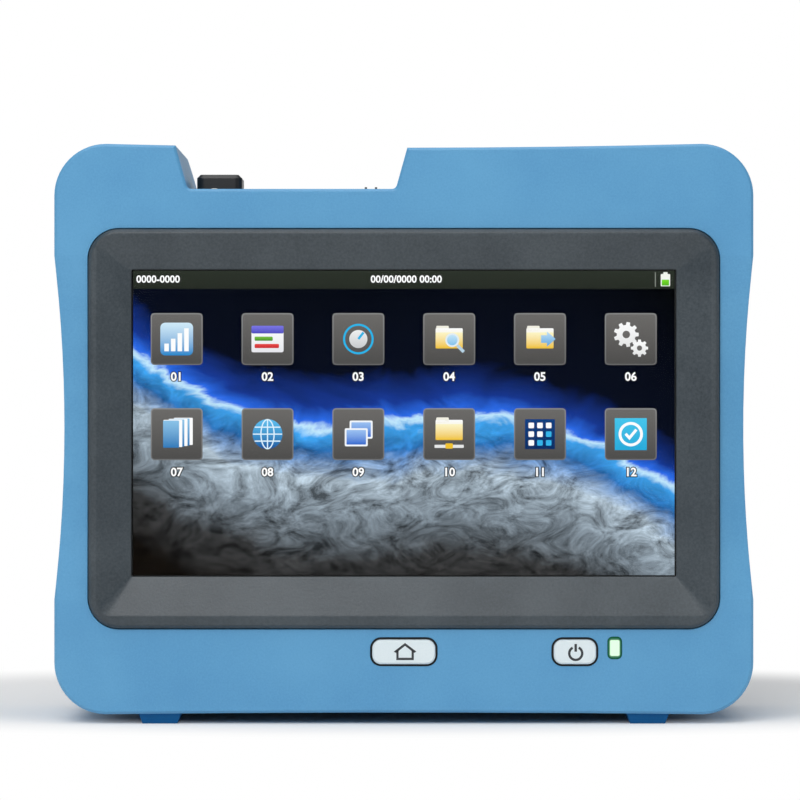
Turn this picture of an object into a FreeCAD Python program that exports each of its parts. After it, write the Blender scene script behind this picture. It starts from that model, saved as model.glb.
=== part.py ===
# Handheld optical time domain reflectometer: a tablet-shaped fibre tester.
#
# It stands on four feet at Z = 0 and looks along -Y, so +X is its right side
# as the user sees it, +Y is its back and +Z is up. The origin is under the
# middle of the case. All lengths are in millimetres.

import FreeCAD, Part
import math
import os
import re
import Sketcher
from FreeCAD import Vector

# Driving sizes. Each one stands in a cell of its own in the sheet.
SIZES = {
    # case: a front and a rear moulding
    "case_width": 200,
    "case_height": 166,
    "case_depth": 68,
    "corner_radius": 14.8,
    "top_hollow": 1.1,
    "bottom_hollow": 0.5,
    "waist_depth": 2.7,
    "waist_low": 35.5,
    "waist_top": 32,
    "wall": 2.5,
    "front_wall": 5.4,
    "front_shell_depth": 24.4,
    "front_edge": 0.7,
    "rear_edge": 9,
    "scoop_inner": 1,
    "scoop_outer": 3.4,
    "seal_width": 1.1,
    "seal_thickness": 1,
    "seal_inset": 0.7,
    "fit_gap": 0.05,
    # feet
    "foot_height": 2.8,
    "foot_sink": 1.2,
    "foot_width": 12,
    "foot_length": 20,
    "foot_taper": 1,
    "foot_side": 30.1,
    "foot_end": 13,
    # trough for the optical ports, in the top edge
    "notch_left": 61.9,
    "notch_right": 2.3,
    "notch_depth": 12.9,
    "notch_slope": 3.6,
    "notch_corner": 1.5,
    "trough_margin": 0.7,
    "trough_end": 11,
    "tray_depth": 8.1,
    "tray_floor": 2,
    "tray_wall": 1.8,
    # screen bezel and display
    "bezel_side": 9.85,
    "bezel_foot": 27.45,
    "bezel_head": 24.45,
    "bezel_radius": 8.7,
    "bezel_thickness": 4,
    "bezel_proud": 1.6,
    "bezel_gap": 0.3,
    "bezel_rim_side": 2.3,
    "bezel_rim_top": 1.9,
    "bezel_rim_bottom": 3.5,
    "bezel_edge": 1,
    "crest_radius": 3.7,
    "field_side": 12.1,
    "field_foot": 14.65,
    "field_head": 11.45,
    "screen_lip": 0.6,
    "glass_border": 3,
    "glass_thickness": 1.8,
    "glass_gap": 0.3,
    "picture_border": 1.02,
    "panel_side": 4.95,
    "panel_end": 6,
    "panel_thickness": 1.4,
    "backlight_thickness": 2.4,
    "frame_sheet": 1,
    "frame_gap": 0.2,
    "frame_ear": 3.6,
    "frame_screw_inset": 15.2,
    # buttons under the screen
    "button_middle": 20.7,
    "button_height": 7,
    "home_width": 18,
    "power_width": 12.1,
    "power_place": 48.9,
    "button_radius": 2.5,
    "button_proud": 0.8,
    "button_edge": 0.4,
    "button_travel": 0.8,
    "button_gap": 0.15,
    "button_flange": 0.9,
    "flange_thickness": 0.8,
    "collar_width": 0.5,
    "keypad_sheet": 1,
    "keypad_height": 12.4,
    "keypad_left": 14,
    "keypad_right": 66,
    "keypad_wall": 2.5,
    "light_width": 4.1,
    "light_height": 6.4,
    "light_place": 60.3,
    "light_middle": 21.8,
    "light_radius": 1.4,
    "switch_size": 6,
    "switch_height": 1.8,
    "board_thickness": 1.6,
    # electronics
    "board_side": 7,
    "board_end": 1,
    "standoff_length": 10.2,
    "standoff_size": 5,
    "standoff_bore": 6,
    "standoff_side": 6,
    "standoff_end": 3.5,
    "shield_width": 46,
    "shield_height": 34,
    "shield_thickness": 3.2,
    "shield_place": 20,
    "radio_width": 24,
    "radio_height": 17,
    "radio_thickness": 2.6,
    "radio_side": 36,
    "radio_rise": 20,
    "cell_size": 20,
    "cell_thickness": 3.6,
    "cell_side": 36,
    "cell_drop": 20,
    "optics_width": 62,
    "optics_height": 30,
    "optics_depth": 24,
    "optics_side": 26,
    "optics_lid": 1.5,
    "spool_size": 42,
    "spool_core": 26,
    "spool_depth": 7,
    "spool_rim": 1.2,
    "spool_side": 28,
    "upper_drop": 31,
    # battery
    "battery_side": 48,
    "battery_foot": 36,
    "battery_head": 51,
    "battery_thickness": 19,
    "battery_gap": 0.3,
    "battery_round": 3,
    "well_wall": 2,
    "door_thickness": 2.6,
    "door_side": 4,
    "door_end": 8.8,
    "door_gap": 0.35,
    "door_radius": 4,
    "door_screw_side": 10.3,
    "door_screw_end": 4.2,
    "door_seal": 0.6,
    "contact_width": 24,
    "contact_height": 6,
    "contact_rise": 16,
    # stand
    "stand_side": 28,
    "stand_leg": 11,
    "stand_bar": 11,
    "stand_low": 12,
    "pivot_rise": 4.9,
    "stand_thickness": 5,
    "stand_gap": 0.4,
    "stand_drop": 0.2,
    "stand_corner": 6,
    "stand_pin": 3,
    "pin_hold": 2.6,
    "running_gap": 0.05,
    # optical ports and their dust caps
    "otdr_place": 54,
    "fault_place": 32,
    "meter_place": 9.7,
    "flange_width": 13.2,
    "flange_length": 22,
    "flange_plate": 1.6,
    "adapter_width": 9.3,
    "adapter_length": 12.8,
    "adapter_rise": 11.8,
    "adapter_drop": 10,
    "socket_width": 7.4,
    "socket_length": 9,
    "socket_depth": 11,
    "ferrule_size": 2.5,
    "ferrule_recess": 5.5,
    "barrel_size": 8,
    "barrel_rise": 6.4,
    "barrel_bore": 2.5,
    "cap_width": 13.2,
    "cap_length": 16.8,
    "cap_rise": 13.7,
    "cap_edge": 2.2,
    "cap_top_edge": 1,
    "cap_roof": 1.7,
    "cap_gap": 0.35,
    "round_cap_size": 11,
    "round_cap_rise": 9.1,
    "hinge_back": 10.2,
    "hinge_rise": 10,
    "round_hinge_rise": 5.2,
    "swing_gap": 0.3,
    "hinge_knuckle": 3.6,
    "hinge_lug": 5.4,
    "hinge_pin": 1.5,
    "marker_size": 6.3,
    "marker_proud": 0.4,
    "marker_shift": 1.4,
    "marker_drop": 7.2,
    "ridge_spread": 3,
    "ridge_width": 0.7,
    "ridge_top": 10.7,
    # electrical sockets under a rubber cover, in the top edge
    "bay_left": 20,
    "bay_width": 56,
    "bay_front": 3,
    "bay_length": 18,
    "bay_depth": 9,
    "bay_floor": 2,
    "bay_wall": 2,
    "socket_gap": 1.4,
    "socket_rise": 1.4,
    "socket_height": 16,
    "inlet_size": 9,
    "inlet_bore": 6.2,
    "inlet_pin": 2.1,
    "data_width": 9.4,
    "data_length": 5,
    "usb_width": 14.4,
    "usb_length": 7.4,
    "network_width": 16,
    "network_length": 13.4,
    "cover_thickness": 2.2,
    "cover_gap": 0.3,
    "cover_drop": 0.2,
    "cover_pin": 1.2,
    "cover_rib": 1.2,
    "cover_rib_drop": 1.4,
    # stylus
    "stylus_place": 10,
    "stylus_size": 6,
    "stylus_clear": 3.5,
    "stylus_gap": 0.25,
    "stylus_drop": 0.4,
    "stylus_tip": 9,
    "stylus_point": 0.8,
    "tube_wall": 1,
    # speaker behind slots in the back
    "speaker_size": 28,
    "speaker_depth": 7,
    "speaker_side": 36,
    "speaker_rim": 2.5,
    "speaker_step": 5,
    "speaker_drop": 19,
    "slot_length": 22,
    "slot_height": 1.6,
    "slot_pitch": 3.6,
    "slot_count": 6,
    # case screws
    "post_size": 9,
    "screw_size": 3,
    "screw_head": 5.6,
    "screw_head_height": 2.4,
    "screw_bite": 11,
    "screw_seat_depth": 5,
    "screw_side": 18,
    "screw_low": 15,
    "screw_top": 14,
    "small_screw": 2.4,
    "small_head": 4.4,
    "small_head_height": 1.5,
}

# Places and shares worked out from the sizes above.
PLACES = {
    "crest": "-case_depth / 2",
    "face": "crest + bezel_proud",
    "back": "case_depth / 2",
    "parting": "face + front_shell_depth",
    "hall": "face + front_wall",
    "waist_high": "case_height - waist_top",
    "foot_spread": "case_half - foot_side",
    "foot_reach": "back - foot_end",
    "trough_reach": "back - trough_end",
    "bezel_width": "case_width - 2 * bezel_side",
    "bezel_height": "case_height - bezel_foot - bezel_head",
    "bezel_middle": "(case_height + bezel_foot - bezel_head) / 2",
    "screen_width": "bezel_width - 2 * field_side",
    "screen_height": "bezel_height - field_foot - field_head",
    "screen_middle": "bezel_middle + (field_foot - field_head) / 2",
    "picture_width": "screen_width - 2 * picture_border",
    "picture_height": "screen_height - 2 * picture_border",
    "panel_width": "screen_width + 2 * panel_side",
    "panel_height": "screen_height + 2 * panel_end",
    "main_width": "panel_width - 2 * board_side",
    "main_height": "panel_height - 2 * board_end",
    "optics_place": "main_width / 2 - optics_side",
    "spool_place": "main_width / 2 - spool_side",
    "speaker_place": "main_width / 2 - speaker_side",
    "radio_place": "main_width / 2 - radio_side",
    "cell_place": "main_width / 2 - cell_side",
    "standoff_spread": "main_width / 2 - standoff_side",
    "standoff_rise": "main_height / 2 - standoff_end",
    "case_half": "case_width / 2",
    "flat_half": "case_half - corner_radius",
    "top_radius": "(flat_half^2 + top_hollow^2) / (2 * top_hollow)",
    "bottom_radius": "(flat_half^2 + bottom_hollow^2) / (2 * bottom_hollow)",
    "waist_half": "(waist_high - waist_low) / 2",
    "waist_radius": "(waist_half^2 + waist_depth^2) / (2 * waist_depth)",
    "lip": "case_height - notch_depth",
    "trough_left": "-(notch_left - trough_margin)",
    "trough_right": "-(notch_right + trough_margin)",
    "ledge": "lip - wall",
    "deck": "lip - tray_depth",
    "seat": "crest + bezel_thickness",
    "glass_back": "seat + glass_thickness",
    "backlight_front": "hall + panel_thickness",
    "frame_front": "backlight_front + backlight_thickness",
    "frame_back": "frame_front + frame_sheet",
    "frame_half": "panel_width / 2 + frame_gap + frame_sheet",
    "frame_rise": "panel_height / 2 + frame_gap + frame_sheet",
    "frame_screw_rise": "frame_rise - frame_screw_inset",
    "frame_screw": "frame_half + frame_ear - 0.9 * small_screw / 2",
    "board_front": "frame_back + standoff_length",
    "board_back": "board_front + board_thickness",
    "keypad_front": "face + keypad_wall",
    "keypad_back": "keypad_front + keypad_sheet",
    "flange_front": "keypad_back + button_gap",
    "flange_back": "flange_front + flange_thickness",
    "switch_front": "flange_back + button_travel + 0.1",
    "key_board": "switch_front + switch_height",
    "door_front": "back - door_thickness",
    "well_floor": "door_front - door_seal - battery_thickness",
    "battery_width": "case_width - 2 * battery_side",
    "battery_top": "deck - battery_head",
    "battery_height": "battery_top - battery_foot",
    "battery_middle": "(battery_top + battery_foot) / 2",
    "contact_place": "battery_foot + contact_rise",
    "upper_middle": "deck - upper_drop",
    "speaker_middle": "deck - speaker_drop",
    "well_half": "battery_width / 2 + battery_gap",
    "well_rise": "battery_height / 2 + battery_gap",
    "door_half": "well_half + door_side",
    "door_rise": "well_rise + door_end",
    "stand_back": "back - stand_drop",
    "stand_front": "stand_back - stand_thickness",
    "stand_axis": "(stand_back + stand_front) / 2",
    "channel_floor": "stand_front - stand_gap",
    "stand_half": "case_half - stand_side",
    "stand_pivot": "battery_middle + door_rise + pivot_rise",
    "hinge_z": "deck + hinge_rise",
    "round_hinge_z": "deck + round_hinge_rise",
    "bay_right": "bay_left + bay_width",
    "bay_back": "bay_front + bay_length",
    "bay_deck": "case_height - bay_depth",
    "cover_top": "case_height - top_hollow - cover_drop",
    "cover_axis_y": "bay_back - cover_gap - cover_thickness / 2",
    "cover_axis_z": "cover_top - cover_thickness / 2",
    "socket_top": "bay_deck + socket_rise",
    "socket_board": "socket_top - socket_height - bay_floor",
    "stylus_top": "case_height - top_hollow - stylus_drop",
    "stylus_end": "contact_place + contact_height / 2 + stylus_clear",
    "screw_seat": "parting + screw_seat_depth",
    "screw_spread": "case_half - screw_side",
    "screw_high": "case_height - screw_top",
    "bay_middle": "bay_front + bay_length / 2 - 1",
}

doc = FreeCAD.newDocument("otdr")
sheet = doc.addObject("Spreadsheet::Sheet", "Sizes")
for row, (name, number) in enumerate(SIZES.items(), 1):
    sheet.set(f"A{row}", str(number))
    sheet.setAlias(f"A{row}", name)
doc.recompute()

PLANES = {"front": "XZ_Plane", "top": "XY_Plane", "side": "YZ_Plane"}
bodies = []


# ---- drawing and shaping -------------------------------------------------

def formula(text):
    """Write a size, a place or a sum of them in terms of the sheet's cells."""
    def cell(match):
        word = match.group(0)
        if word in PLACES:
            return "(" + formula(PLACES[word]) + ")"
        return "Sizes." + word if word in SIZES else word
    return re.sub(r"[A-Za-z_]\w*", cell, str(text))


def size(text):
    """The number that a formula gives now."""
    return float(sheet.evalExpression(formula(text)))


def bind(thing, name, text):
    thing.setExpression(name, formula(text))


def new_body(label):
    body = doc.addObject("PartDesign::Body", label)
    bodies.append(body)
    return body


def fix(drawing, kind, first, text):
    """Add a constraint to a sketch and tie its number to a formula."""
    row = drawing.addConstraint(Sketcher.Constraint(kind, *first, size(text)))
    drawing.setExpression(f"Constraints[{row}]", formula(text))


def draw_circle(drawing, x, y, radius):
    centre = Vector(size(x), size(y), 0)
    row = drawing.addGeometry(Part.Circle(centre, Vector(0, 0, 1), size(radius)))
    fix(drawing, "DistanceX", (-1, 1, row, 3), x)
    fix(drawing, "DistanceY", (-1, 1, row, 3), y)
    fix(drawing, "Radius", (row,), radius)


def arc_between(start, end, radius, hollow):
    """An arc to the right of the way from start to end, or to its left if hollow."""
    way = end - start
    left = Vector(-way.y, way.x, 0).normalize()
    side = -1 if hollow else 1
    rise = math.sqrt(max(radius ** 2 - (way.Length / 2) ** 2, 0))
    centre = (start + end) * 0.5 + left * (rise * side)
    first, last = (end, start) if hollow else (start, end)
    angles = [math.atan2(point.y - centre.y, point.x - centre.x) for point in (first, last)]
    if angles[1] <= angles[0]:
        angles[1] += 2 * math.pi
    return Part.ArcOfCircle(Part.Circle(centre, Vector(0, 0, 1), radius), *angles)


def draw_loop(drawing, corners):
    """Corners run anticlockwise. A third entry is the radius of the arc to the next
    corner, and a fourth one says that the arc is hollow."""
    points = [Vector(size(corner[0]), size(corner[1]), 0) for corner in corners]
    ends = []
    for index, corner in enumerate(corners):
        start, end = points[index], points[(index + 1) % len(points)]
        if len(corner) == 2:
            ends.append((drawing.addGeometry(Part.LineSegment(start, end)), 1, 2))
            continue
        hollow = len(corner) == 4
        row = drawing.addGeometry(arc_between(start, end, size(corner[2]), hollow))
        ends.append((row, 2, 1) if hollow else (row, 1, 2))
        fix(drawing, "Radius", (row,), corner[2])
    for index, corner in enumerate(corners):
        row, start, _ = ends[index]
        before, _, end = ends[index - 1]
        drawing.addConstraint(Sketcher.Constraint("Coincident", before, end, row, start))
        fix(drawing, "DistanceX", (-1, 1, row, start), corner[0])
        fix(drawing, "DistanceY", (-1, 1, row, start), corner[1])


def draw(body, plane, level, loops):
    """Draw loops on a plane of the body: front (X, Z), top (X, Y) or side (Y, Z)."""
    drawing = body.newObject("Sketcher::SketchObject", "outline")
    origin = [part for part in body.Origin.OriginFeatures if part.Role == PLANES[plane]]
    drawing.AttachmentSupport = (origin[0], "")
    drawing.MapMode = "FlatFace"
    sign = "-1" if plane == "front" else "1"
    bind(drawing, ".AttachmentOffset.Base.z", f"{sign} * ({level})")
    for loop in loops:
        if isinstance(loop, tuple):
            draw_circle(drawing, *loop)
        else:
            draw_loop(drawing, loop)
    return drawing


def pad(body, plane, low, high, *loops):
    """Add the loops, drawn out from one level to a higher one."""
    drawing = draw(body, plane, low, loops)
    feature = body.newObject("PartDesign::Pad", "pad")
    feature.Profile = drawing
    feature.Reversed = plane == "front"
    bind(feature, "Length", f"({high}) - ({low})")
    return feature


def pocket(body, plane, low, high, *loops):
    """Cut the loops away from one level to a higher one."""
    drawing = draw(body, plane, low, loops)
    feature = body.newObject("PartDesign::Pocket", "pocket")
    feature.Profile = drawing
    feature.Refine = False
    feature.Reversed = plane != "front"
    bind(feature, "Length", f"({high}) - ({low})")
    return feature


def loft(body, kind, plane, *sections):
    """Add or cut a loft through (level, loop) sections."""
    drawings = [draw(body, plane, level, [loop]) for level, loop in sections]
    feature = body.newObject("PartDesign::" + kind, "loft")
    feature.Profile = drawings[0]
    feature.Sections = drawings[1:]
    feature.Ruled = True
    return feature


def round_edges(body, radius, wanted, kind="Fillet"):
    """Fillet or chamfer the edges that the test picks."""
    doc.recompute()
    base = body.Tip
    names = [f"Edge{index}" for index, edge in enumerate(base.Shape.Edges, 1) if wanted(edge)]
    feature = body.newObject("PartDesign::" + kind, kind.lower())
    feature.Base = (base, names)
    bind(feature, "Radius" if kind == "Fillet" else "Size", radius)
    return feature


def edge_at(axis, level):
    """Test for edges that lie wholly at one level of an axis."""
    def wanted(edge):
        box = edge.BoundBox
        low, high = getattr(box, axis + "Min"), getattr(box, axis + "Max")
        return abs(low - size(level)) < 0.01 and abs(high - size(level)) < 0.01
    return wanted


def edge_along(axis, places):
    """Test for straight edges along an axis that pass through given (u, v) places."""
    others = [name for name in "XYZ" if name != axis]
    spots = [(size(first), size(second)) for first, second in places]

    def wanted(edge):
        box = edge.BoundBox
        middle = [(getattr(box, name + "Min") + getattr(box, name + "Max")) / 2 for name in others]
        spread = [getattr(box, name + "Length") for name in others]
        if max(spread) > 0.01 or edge.Length < 0.1:
            return False
        return any(math.dist(middle, spot) < 0.2 for spot in spots)
    return wanted


def rectangle(left, low, right, high):
    return [(left, low), (right, low), (right, high), (left, high)]


def hexagon(x, y, half):
    """A hexagon about a middle, from half its width across the flats."""
    tip = f"2 * ({half}) / sqrt(3)"
    corners = [("0", "-1"), ("1", "-0.5"), ("1", "0.5"), ("0", "1"), ("-1", "0.5"), ("-1", "-0.5")]
    return [(f"{x} + {across} * ({half})", f"{y} + {up} * {tip}") for across, up in corners]


def around(x, y, half_width, half_height):
    """A rectangle about a middle."""
    return rectangle(f"{x} - ({half_width})", f"{y} - ({half_height})",
                     f"{x} + ({half_width})", f"{y} + ({half_height})")


def softened(corners, radius):
    """Round every corner of a loop whose sides run along the axes."""
    loop = []
    count = len(corners)
    for index, corner in enumerate(corners):
        before, after = corners[index - 1], corners[(index + 1) % count]
        here, last, following = ([size(text) for text in spot] for spot in (corner, before, after))
        arrive = [here[0] - last[0], here[1] - last[1]]
        leave = [following[0] - here[0], following[1] - here[1]]
        turn = arrive[0] * leave[1] - arrive[1] * leave[0]
        start = shifted(corner, arrive, f"-({radius})")
        end = shifted(corner, leave, f"({radius})")
        loop.append(start + ((radius,) if turn > 0 else (radius, "hollow")))
        loop.append(end)
    return loop


def shifted(corner, way, distance):
    """Move a corner along the axis that a way runs along."""
    axis = 0 if abs(way[0]) > abs(way[1]) else 1
    sign = 1 if way[axis] > 0 else -1
    moved = list(corner)
    moved[axis] = f"({corner[axis]}) + {sign} * {distance}"
    return tuple(moved)


# ---- outlines shared by several pieces -----------------------------------

def top_at(x, inset):
    """Height of the case's hollow top edge over a place across it."""
    return f"case_height - {inset} - top_hollow + top_radius - sqrt(top_radius^2 - ({x})^2)"


def case_outline(inset, notched=False):
    """The case seen from the front, drawn in by an inset."""
    radius = f"corner_radius - {inset}"
    side, low, high = f"case_half - {inset}", f"foot_height + {inset}", f"case_height - {inset}"
    right = [("-flat_half", low, "bottom_radius", "hollow"),
             ("flat_half", low, radius),
             (side, f"{low} + {radius}"),
             (side, "waist_low", "waist_radius", "hollow"),
             (side, "waist_high"),
             (side, f"{high} - ({radius})", radius),
             ("flat_half", high, "top_radius", "hollow")]
    left = [("-flat_half", high, radius),
            (f"-({side})", f"{high} - ({radius})"),
            (f"-({side})", "waist_high", "waist_radius", "hollow"),
            (f"-({side})", "waist_low"),
            (f"-({side})", f"{low} + {radius}", radius)]
    if not notched:
        return right + left
    walls = [f"-notch_right + {inset} + notch_slope", f"-notch_right + {inset}",
             f"-notch_left - {inset}", f"-notch_left - {inset} - notch_slope"]
    floor = f"lip - {inset}"
    notch = [(walls[0], top_at(walls[0], inset)), (walls[1], floor), (walls[2], floor),
             (walls[3], top_at(walls[3], inset), "top_radius", "hollow")]
    return right + notch + left


def notch_loop():
    """The notch in the top edge, drawn past the top so that it cuts clear."""
    over = "notch_slope * (notch_depth + 1) / notch_depth"
    return [("-notch_left", "lip"), ("-notch_right", "lip"),
            (f"-notch_right + {over}", "case_height + 1"),
            (f"-notch_left - {over}", "case_height + 1")]


def bezel_loop(grow):
    return softened(around("0", "bezel_middle", f"bezel_width / 2 + {grow}",
                           f"bezel_height / 2 + {grow}"), f"bezel_radius + {grow}")


def screen_loop(grow, radius):
    corners = around("0", "screen_middle", f"screen_width / 2 + {grow}", f"screen_height / 2 + {grow}")
    return softened(corners, radius)


def crest_loop():
    """The top of the bezel's rim, where its sloping field starts."""
    corners = rectangle("-bezel_width / 2 + bezel_rim_side",
                        "bezel_middle - bezel_height / 2 + bezel_rim_bottom",
                        "bezel_width / 2 - bezel_rim_side",
                        "bezel_middle + bezel_height / 2 - bezel_rim_top")
    return softened(corners, "crest_radius")


def stand_loop(grow):
    """The U of the stand: two legs and the bar that joins them at the bottom."""
    outer, inner = f"stand_half + {grow}", f"stand_half - stand_leg - ({grow})"
    low, bar = f"stand_low - ({grow})", f"stand_low + stand_bar + {grow}"
    top = f"stand_pivot + stand_thickness / 2 + {grow}"
    return [(f"-({outer})", low), (outer, low), (outer, top), (inner, top), (inner, bar),
            (f"-({inner})", bar), (f"-({inner})", top), (f"-({outer})", top)]


def button_loop(place, width, grow):
    corners = around(place, "button_middle", f"{width} / 2 + {grow}", f"button_height / 2 + {grow}")
    return softened(corners, f"button_radius + {grow}")


def light_loop(grow):
    corners = around("light_place", "light_middle", f"light_width / 2 + {grow}",
                     f"light_height / 2 + {grow}")
    return softened(corners, f"light_radius + {grow}")


BUTTONS = (("0", "home_width"), ("power_place", "power_width"))
CASE_SCREWS = [(f"{side} * screw_spread", height) for side in (-1, 1)
               for height in ("screw_low", "screw_high")]
FRAME_SCREWS = [(f"{side} * frame_screw", f"screen_middle + {rise} * frame_screw_rise")
                for side in (-1, 1) for rise in (-1, 1)]
STANDOFFS = [(f"{side} * standoff_spread", f"screen_middle + {rise} * standoff_rise")
             for side in (-1, 0, 1) for rise in (-1, 1)]
DOOR_SCREWS = [(f"{side} * (door_half - door_screw_side)",
                f"battery_middle + {rise} * (door_rise - door_screw_end)")
               for side in (-1, 1) for rise in (-1, 1)]
FEET_FRONT, FEET_REAR = "-foot_reach", "foot_reach"


def discs(places, radius):
    return [(x, z, radius) for x, z in places]


def foot_loops(reach, grow):
    return [around(f"{side} * foot_spread", reach, f"foot_width / 2 + {grow}",
                   f"foot_length / 2 + {grow}") for side in (-1, 1)]


# ---- case ----------------------------------------------------------------

def cut_notch(body, low, high):
    pocket(body, "front", low, high, notch_loop())
    bottoms = [("-notch_left", "lip"), ("-notch_right", "lip")]
    round_edges(body, "notch_corner", edge_along("Y", bottoms))


def cut_trough(body, front, rear):
    """The hole in the notch's floor over the tray of optical ports."""
    pocket(body, "top", "ledge - 1", "lip + 1",
           rectangle("trough_left", front, "trough_right", rear))


def cut_foot_seats(body, reach):
    pocket(body, "top", "foot_height - 1", "foot_height + foot_sink", *foot_loops(reach, "fit_gap"))


def scoop_section(depth):
    """A hand scoop seen from the side: a shallow arc behind the front face."""
    radius = f"(waist_half^2 + ({depth})^2) / (2 * ({depth}))"
    return [("face - 3", "waist_low"), ("face", "waist_low", radius),
            ("face", "waist_high"), ("face - 3", "waist_high")]


def make_front_housing():
    body = new_body("front_housing")
    pad(body, "front", "face", "parting", case_outline("0"))
    cut_notch(body, "face", "parting")
    round_edges(body, "front_edge", edge_at("Y", "face"), "Chamfer")
    pocket(body, "front", "hall", "parting", case_outline("wall", True))
    pocket(body, "front", "face", "seat", bezel_loop("bezel_gap"))
    pocket(body, "front", "seat", "hall", screen_loop("glass_border + glass_gap", "2"))
    for side in (-1, 1):
        loft(body, "SubtractiveLoft", "side",
             (f"{side} * bezel_width / 2", scoop_section("scoop_inner")),
             (f"{side} * (case_half + 1)", scoop_section("scoop_outer")))
    pocket(body, "front", "keypad_front", "hall",
           rectangle("-keypad_left", "button_middle - keypad_height / 2 - 0.2",
                     "keypad_right", "button_middle + keypad_height / 2 + 0.2"))
    for place, width in BUTTONS:
        pocket(body, "front", "face", "keypad_front",
               button_loop(place, width, "button_gap + collar_width"))
    pocket(body, "front", "face", "keypad_front", light_loop("fit_gap"))
    cut_trough(body, "-trough_reach", "parting + 1")
    cut_foot_seats(body, FEET_FRONT)
    pad(body, "front", "hall", "frame_front", *discs(FRAME_SCREWS, "small_screw / 2 + 1.4"))
    pad(body, "front", "hall", "parting", *discs(CASE_SCREWS, "post_size / 2"))
    pocket(body, "front", "hall", "frame_front", *discs(FRAME_SCREWS, "small_screw / 2 + fit_gap"))
    pocket(body, "front", "parting - screw_bite", "parting",
           *discs(CASE_SCREWS, "screw_size / 2 + fit_gap"))


def make_rear_housing():
    body = new_body("rear_housing")
    pad(body, "front", "parting", "back", case_outline("0"))
    round_edges(body, "rear_edge", edge_at("Y", "back"))
    cut_notch(body, "parting", "back + 1")
    pocket(body, "front", "parting", "back - rear_edge", case_outline("wall", True))
    pocket(body, "front", "back - rear_edge", "back - wall",
           case_outline("(wall + rear_edge * 0.45)", True))
    pocket(body, "front", "parting", "parting + seal_thickness",
           case_outline("seal_inset", True), case_outline("(seal_inset + seal_width)", True))
    # backing for the stand's channel, the battery's well and the sockets' bay
    pad(body, "front", "channel_floor - wall", "back - wall", stand_loop("stand_gap + wall"))
    pad(body, "front", "well_floor - well_wall", "back - wall",
        around("0", "battery_middle", "well_half + well_wall", "well_rise + well_wall"))
    pad(body, "front", "door_front - wall", "back - wall",
        around("0", "battery_middle", "door_half + 1", "door_rise + 1"))
    pad(body, "top", "bay_deck - bay_floor", "case_height - top_hollow - wall / 3",
        rectangle("bay_left - bay_wall", "bay_front - bay_wall",
                  "bay_right + bay_wall", "bay_back + bay_wall"))
    pad(body, "front", "parting", "back - wall", *discs(CASE_SCREWS, "post_size / 2"))
    # what is cut from outside
    pocket(body, "front", "channel_floor", "back", stand_loop("stand_gap"))
    pocket(body, "front", "well_floor", "back",
           softened(around("0", "battery_middle", "well_half", "well_rise"), "battery_round"))
    pocket(body, "front", "door_front", "back",
           softened(around("0", "battery_middle", "door_half", "door_rise"), "door_radius"))
    pocket(body, "front", "door_front - wall", "door_front",
           *discs(DOOR_SCREWS, "small_screw / 2 + fit_gap"))
    pocket(body, "front", "well_floor - well_wall", "well_floor",
           around("0", "contact_place", "contact_width / 2 + fit_gap", "contact_height / 2 + fit_gap"))
    pocket(body, "top", "bay_deck", "case_height + 1",
           rectangle("bay_left", "bay_front", "bay_right", "bay_back"))
    pocket(body, "top", "case_height - top_hollow - wall - 1", "case_height + 1",
           ("stylus_place", "0", "stylus_size / 2 + stylus_gap"))
    pocket(body, "front", "parting", "screw_seat", *discs(CASE_SCREWS, "screw_size / 2 + fit_gap"))
    pocket(body, "front", "screw_seat", "back", *discs(CASE_SCREWS, "screw_head / 2 + 0.3"))
    cut_trough(body, "parting - 1", "trough_reach")
    cut_foot_seats(body, FEET_REAR)
    for side in (-1, 1):
        ends = sorted((f"{side} * (stand_half + stand_gap + pin_hold)",
                       f"{side} * (stand_half - stand_leg - stand_gap - pin_hold)"), key=size)
        pocket(body, "side", *ends, ("stand_axis", "stand_pivot", "stand_pin / 2 + fit_gap / 2"))
    pocket(body, "side", "bay_left - bay_wall", "bay_right + bay_wall",
           ("cover_axis_y", "cover_axis_z", "cover_pin / 2 + fit_gap / 2"))
    pocket(body, "top", "bay_deck - bay_floor", "bay_deck",
           *[around(place, "bay_middle", f"{width} / 2 + 0.2", f"{length} / 2 + 0.2")
             for _, place, width, length in SOCKETS])
    slot = pocket(body, "front", "back - wall", "back",
                  around("speaker_place", "speaker_middle - (slot_count - 1) * slot_pitch / 2",
                         "slot_length / 2", "slot_height / 2"))
    repeat(body, slot, "V_Axis", "(slot_count - 1) * slot_pitch", "slot_count")


def repeat(body, feature, axis, length, count):
    """Repeat a feature along an axis of its own sketch."""
    pattern = body.newObject("PartDesign::LinearPattern", "row")
    pattern.Originals = [feature]
    pattern.Direction = (feature.Profile[0], [axis])
    bind(pattern, "Length", length)
    bind(pattern, "Occurrences", count)
    body.Tip = pattern


def make_housing_gasket():
    body = new_body("housing_gasket")
    pad(body, "front", "parting", "parting + seal_thickness",
        case_outline("(seal_inset + fit_gap)", True),
        case_outline("(seal_inset + seal_width - fit_gap)", True))
    cut_trough(body, "parting", "parting + seal_thickness")


def make_screws(label, places, seat, head_radius, head_height, shank_radius, bite, sign):
    """Cap screws whose heads stand on a seat and whose shanks run away from them."""
    body = new_body(label)
    head = sorted((seat, f"{seat} + {sign} * {head_height}"), key=size)
    shank = sorted((seat, f"{seat} - {sign} * ({bite})"), key=size)
    pad(body, "front", *head, *discs(places, head_radius))
    pad(body, "front", *shank, *discs(places, shank_radius))


def make_feet(label, reach):
    """Two moulded feet that taper down to the table from their seats in the case."""
    body = new_body(label)
    top, bottom = foot_loops(reach, "0"), foot_loops(reach, "-foot_taper")
    for upper, lower in zip(top, bottom):
        loft(body, "AdditiveLoft", "top", ("0", lower), ("foot_height", upper))
    pad(body, "top", "foot_height", "foot_height + foot_sink", *top)


# ---- screen --------------------------------------------------------------

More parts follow.
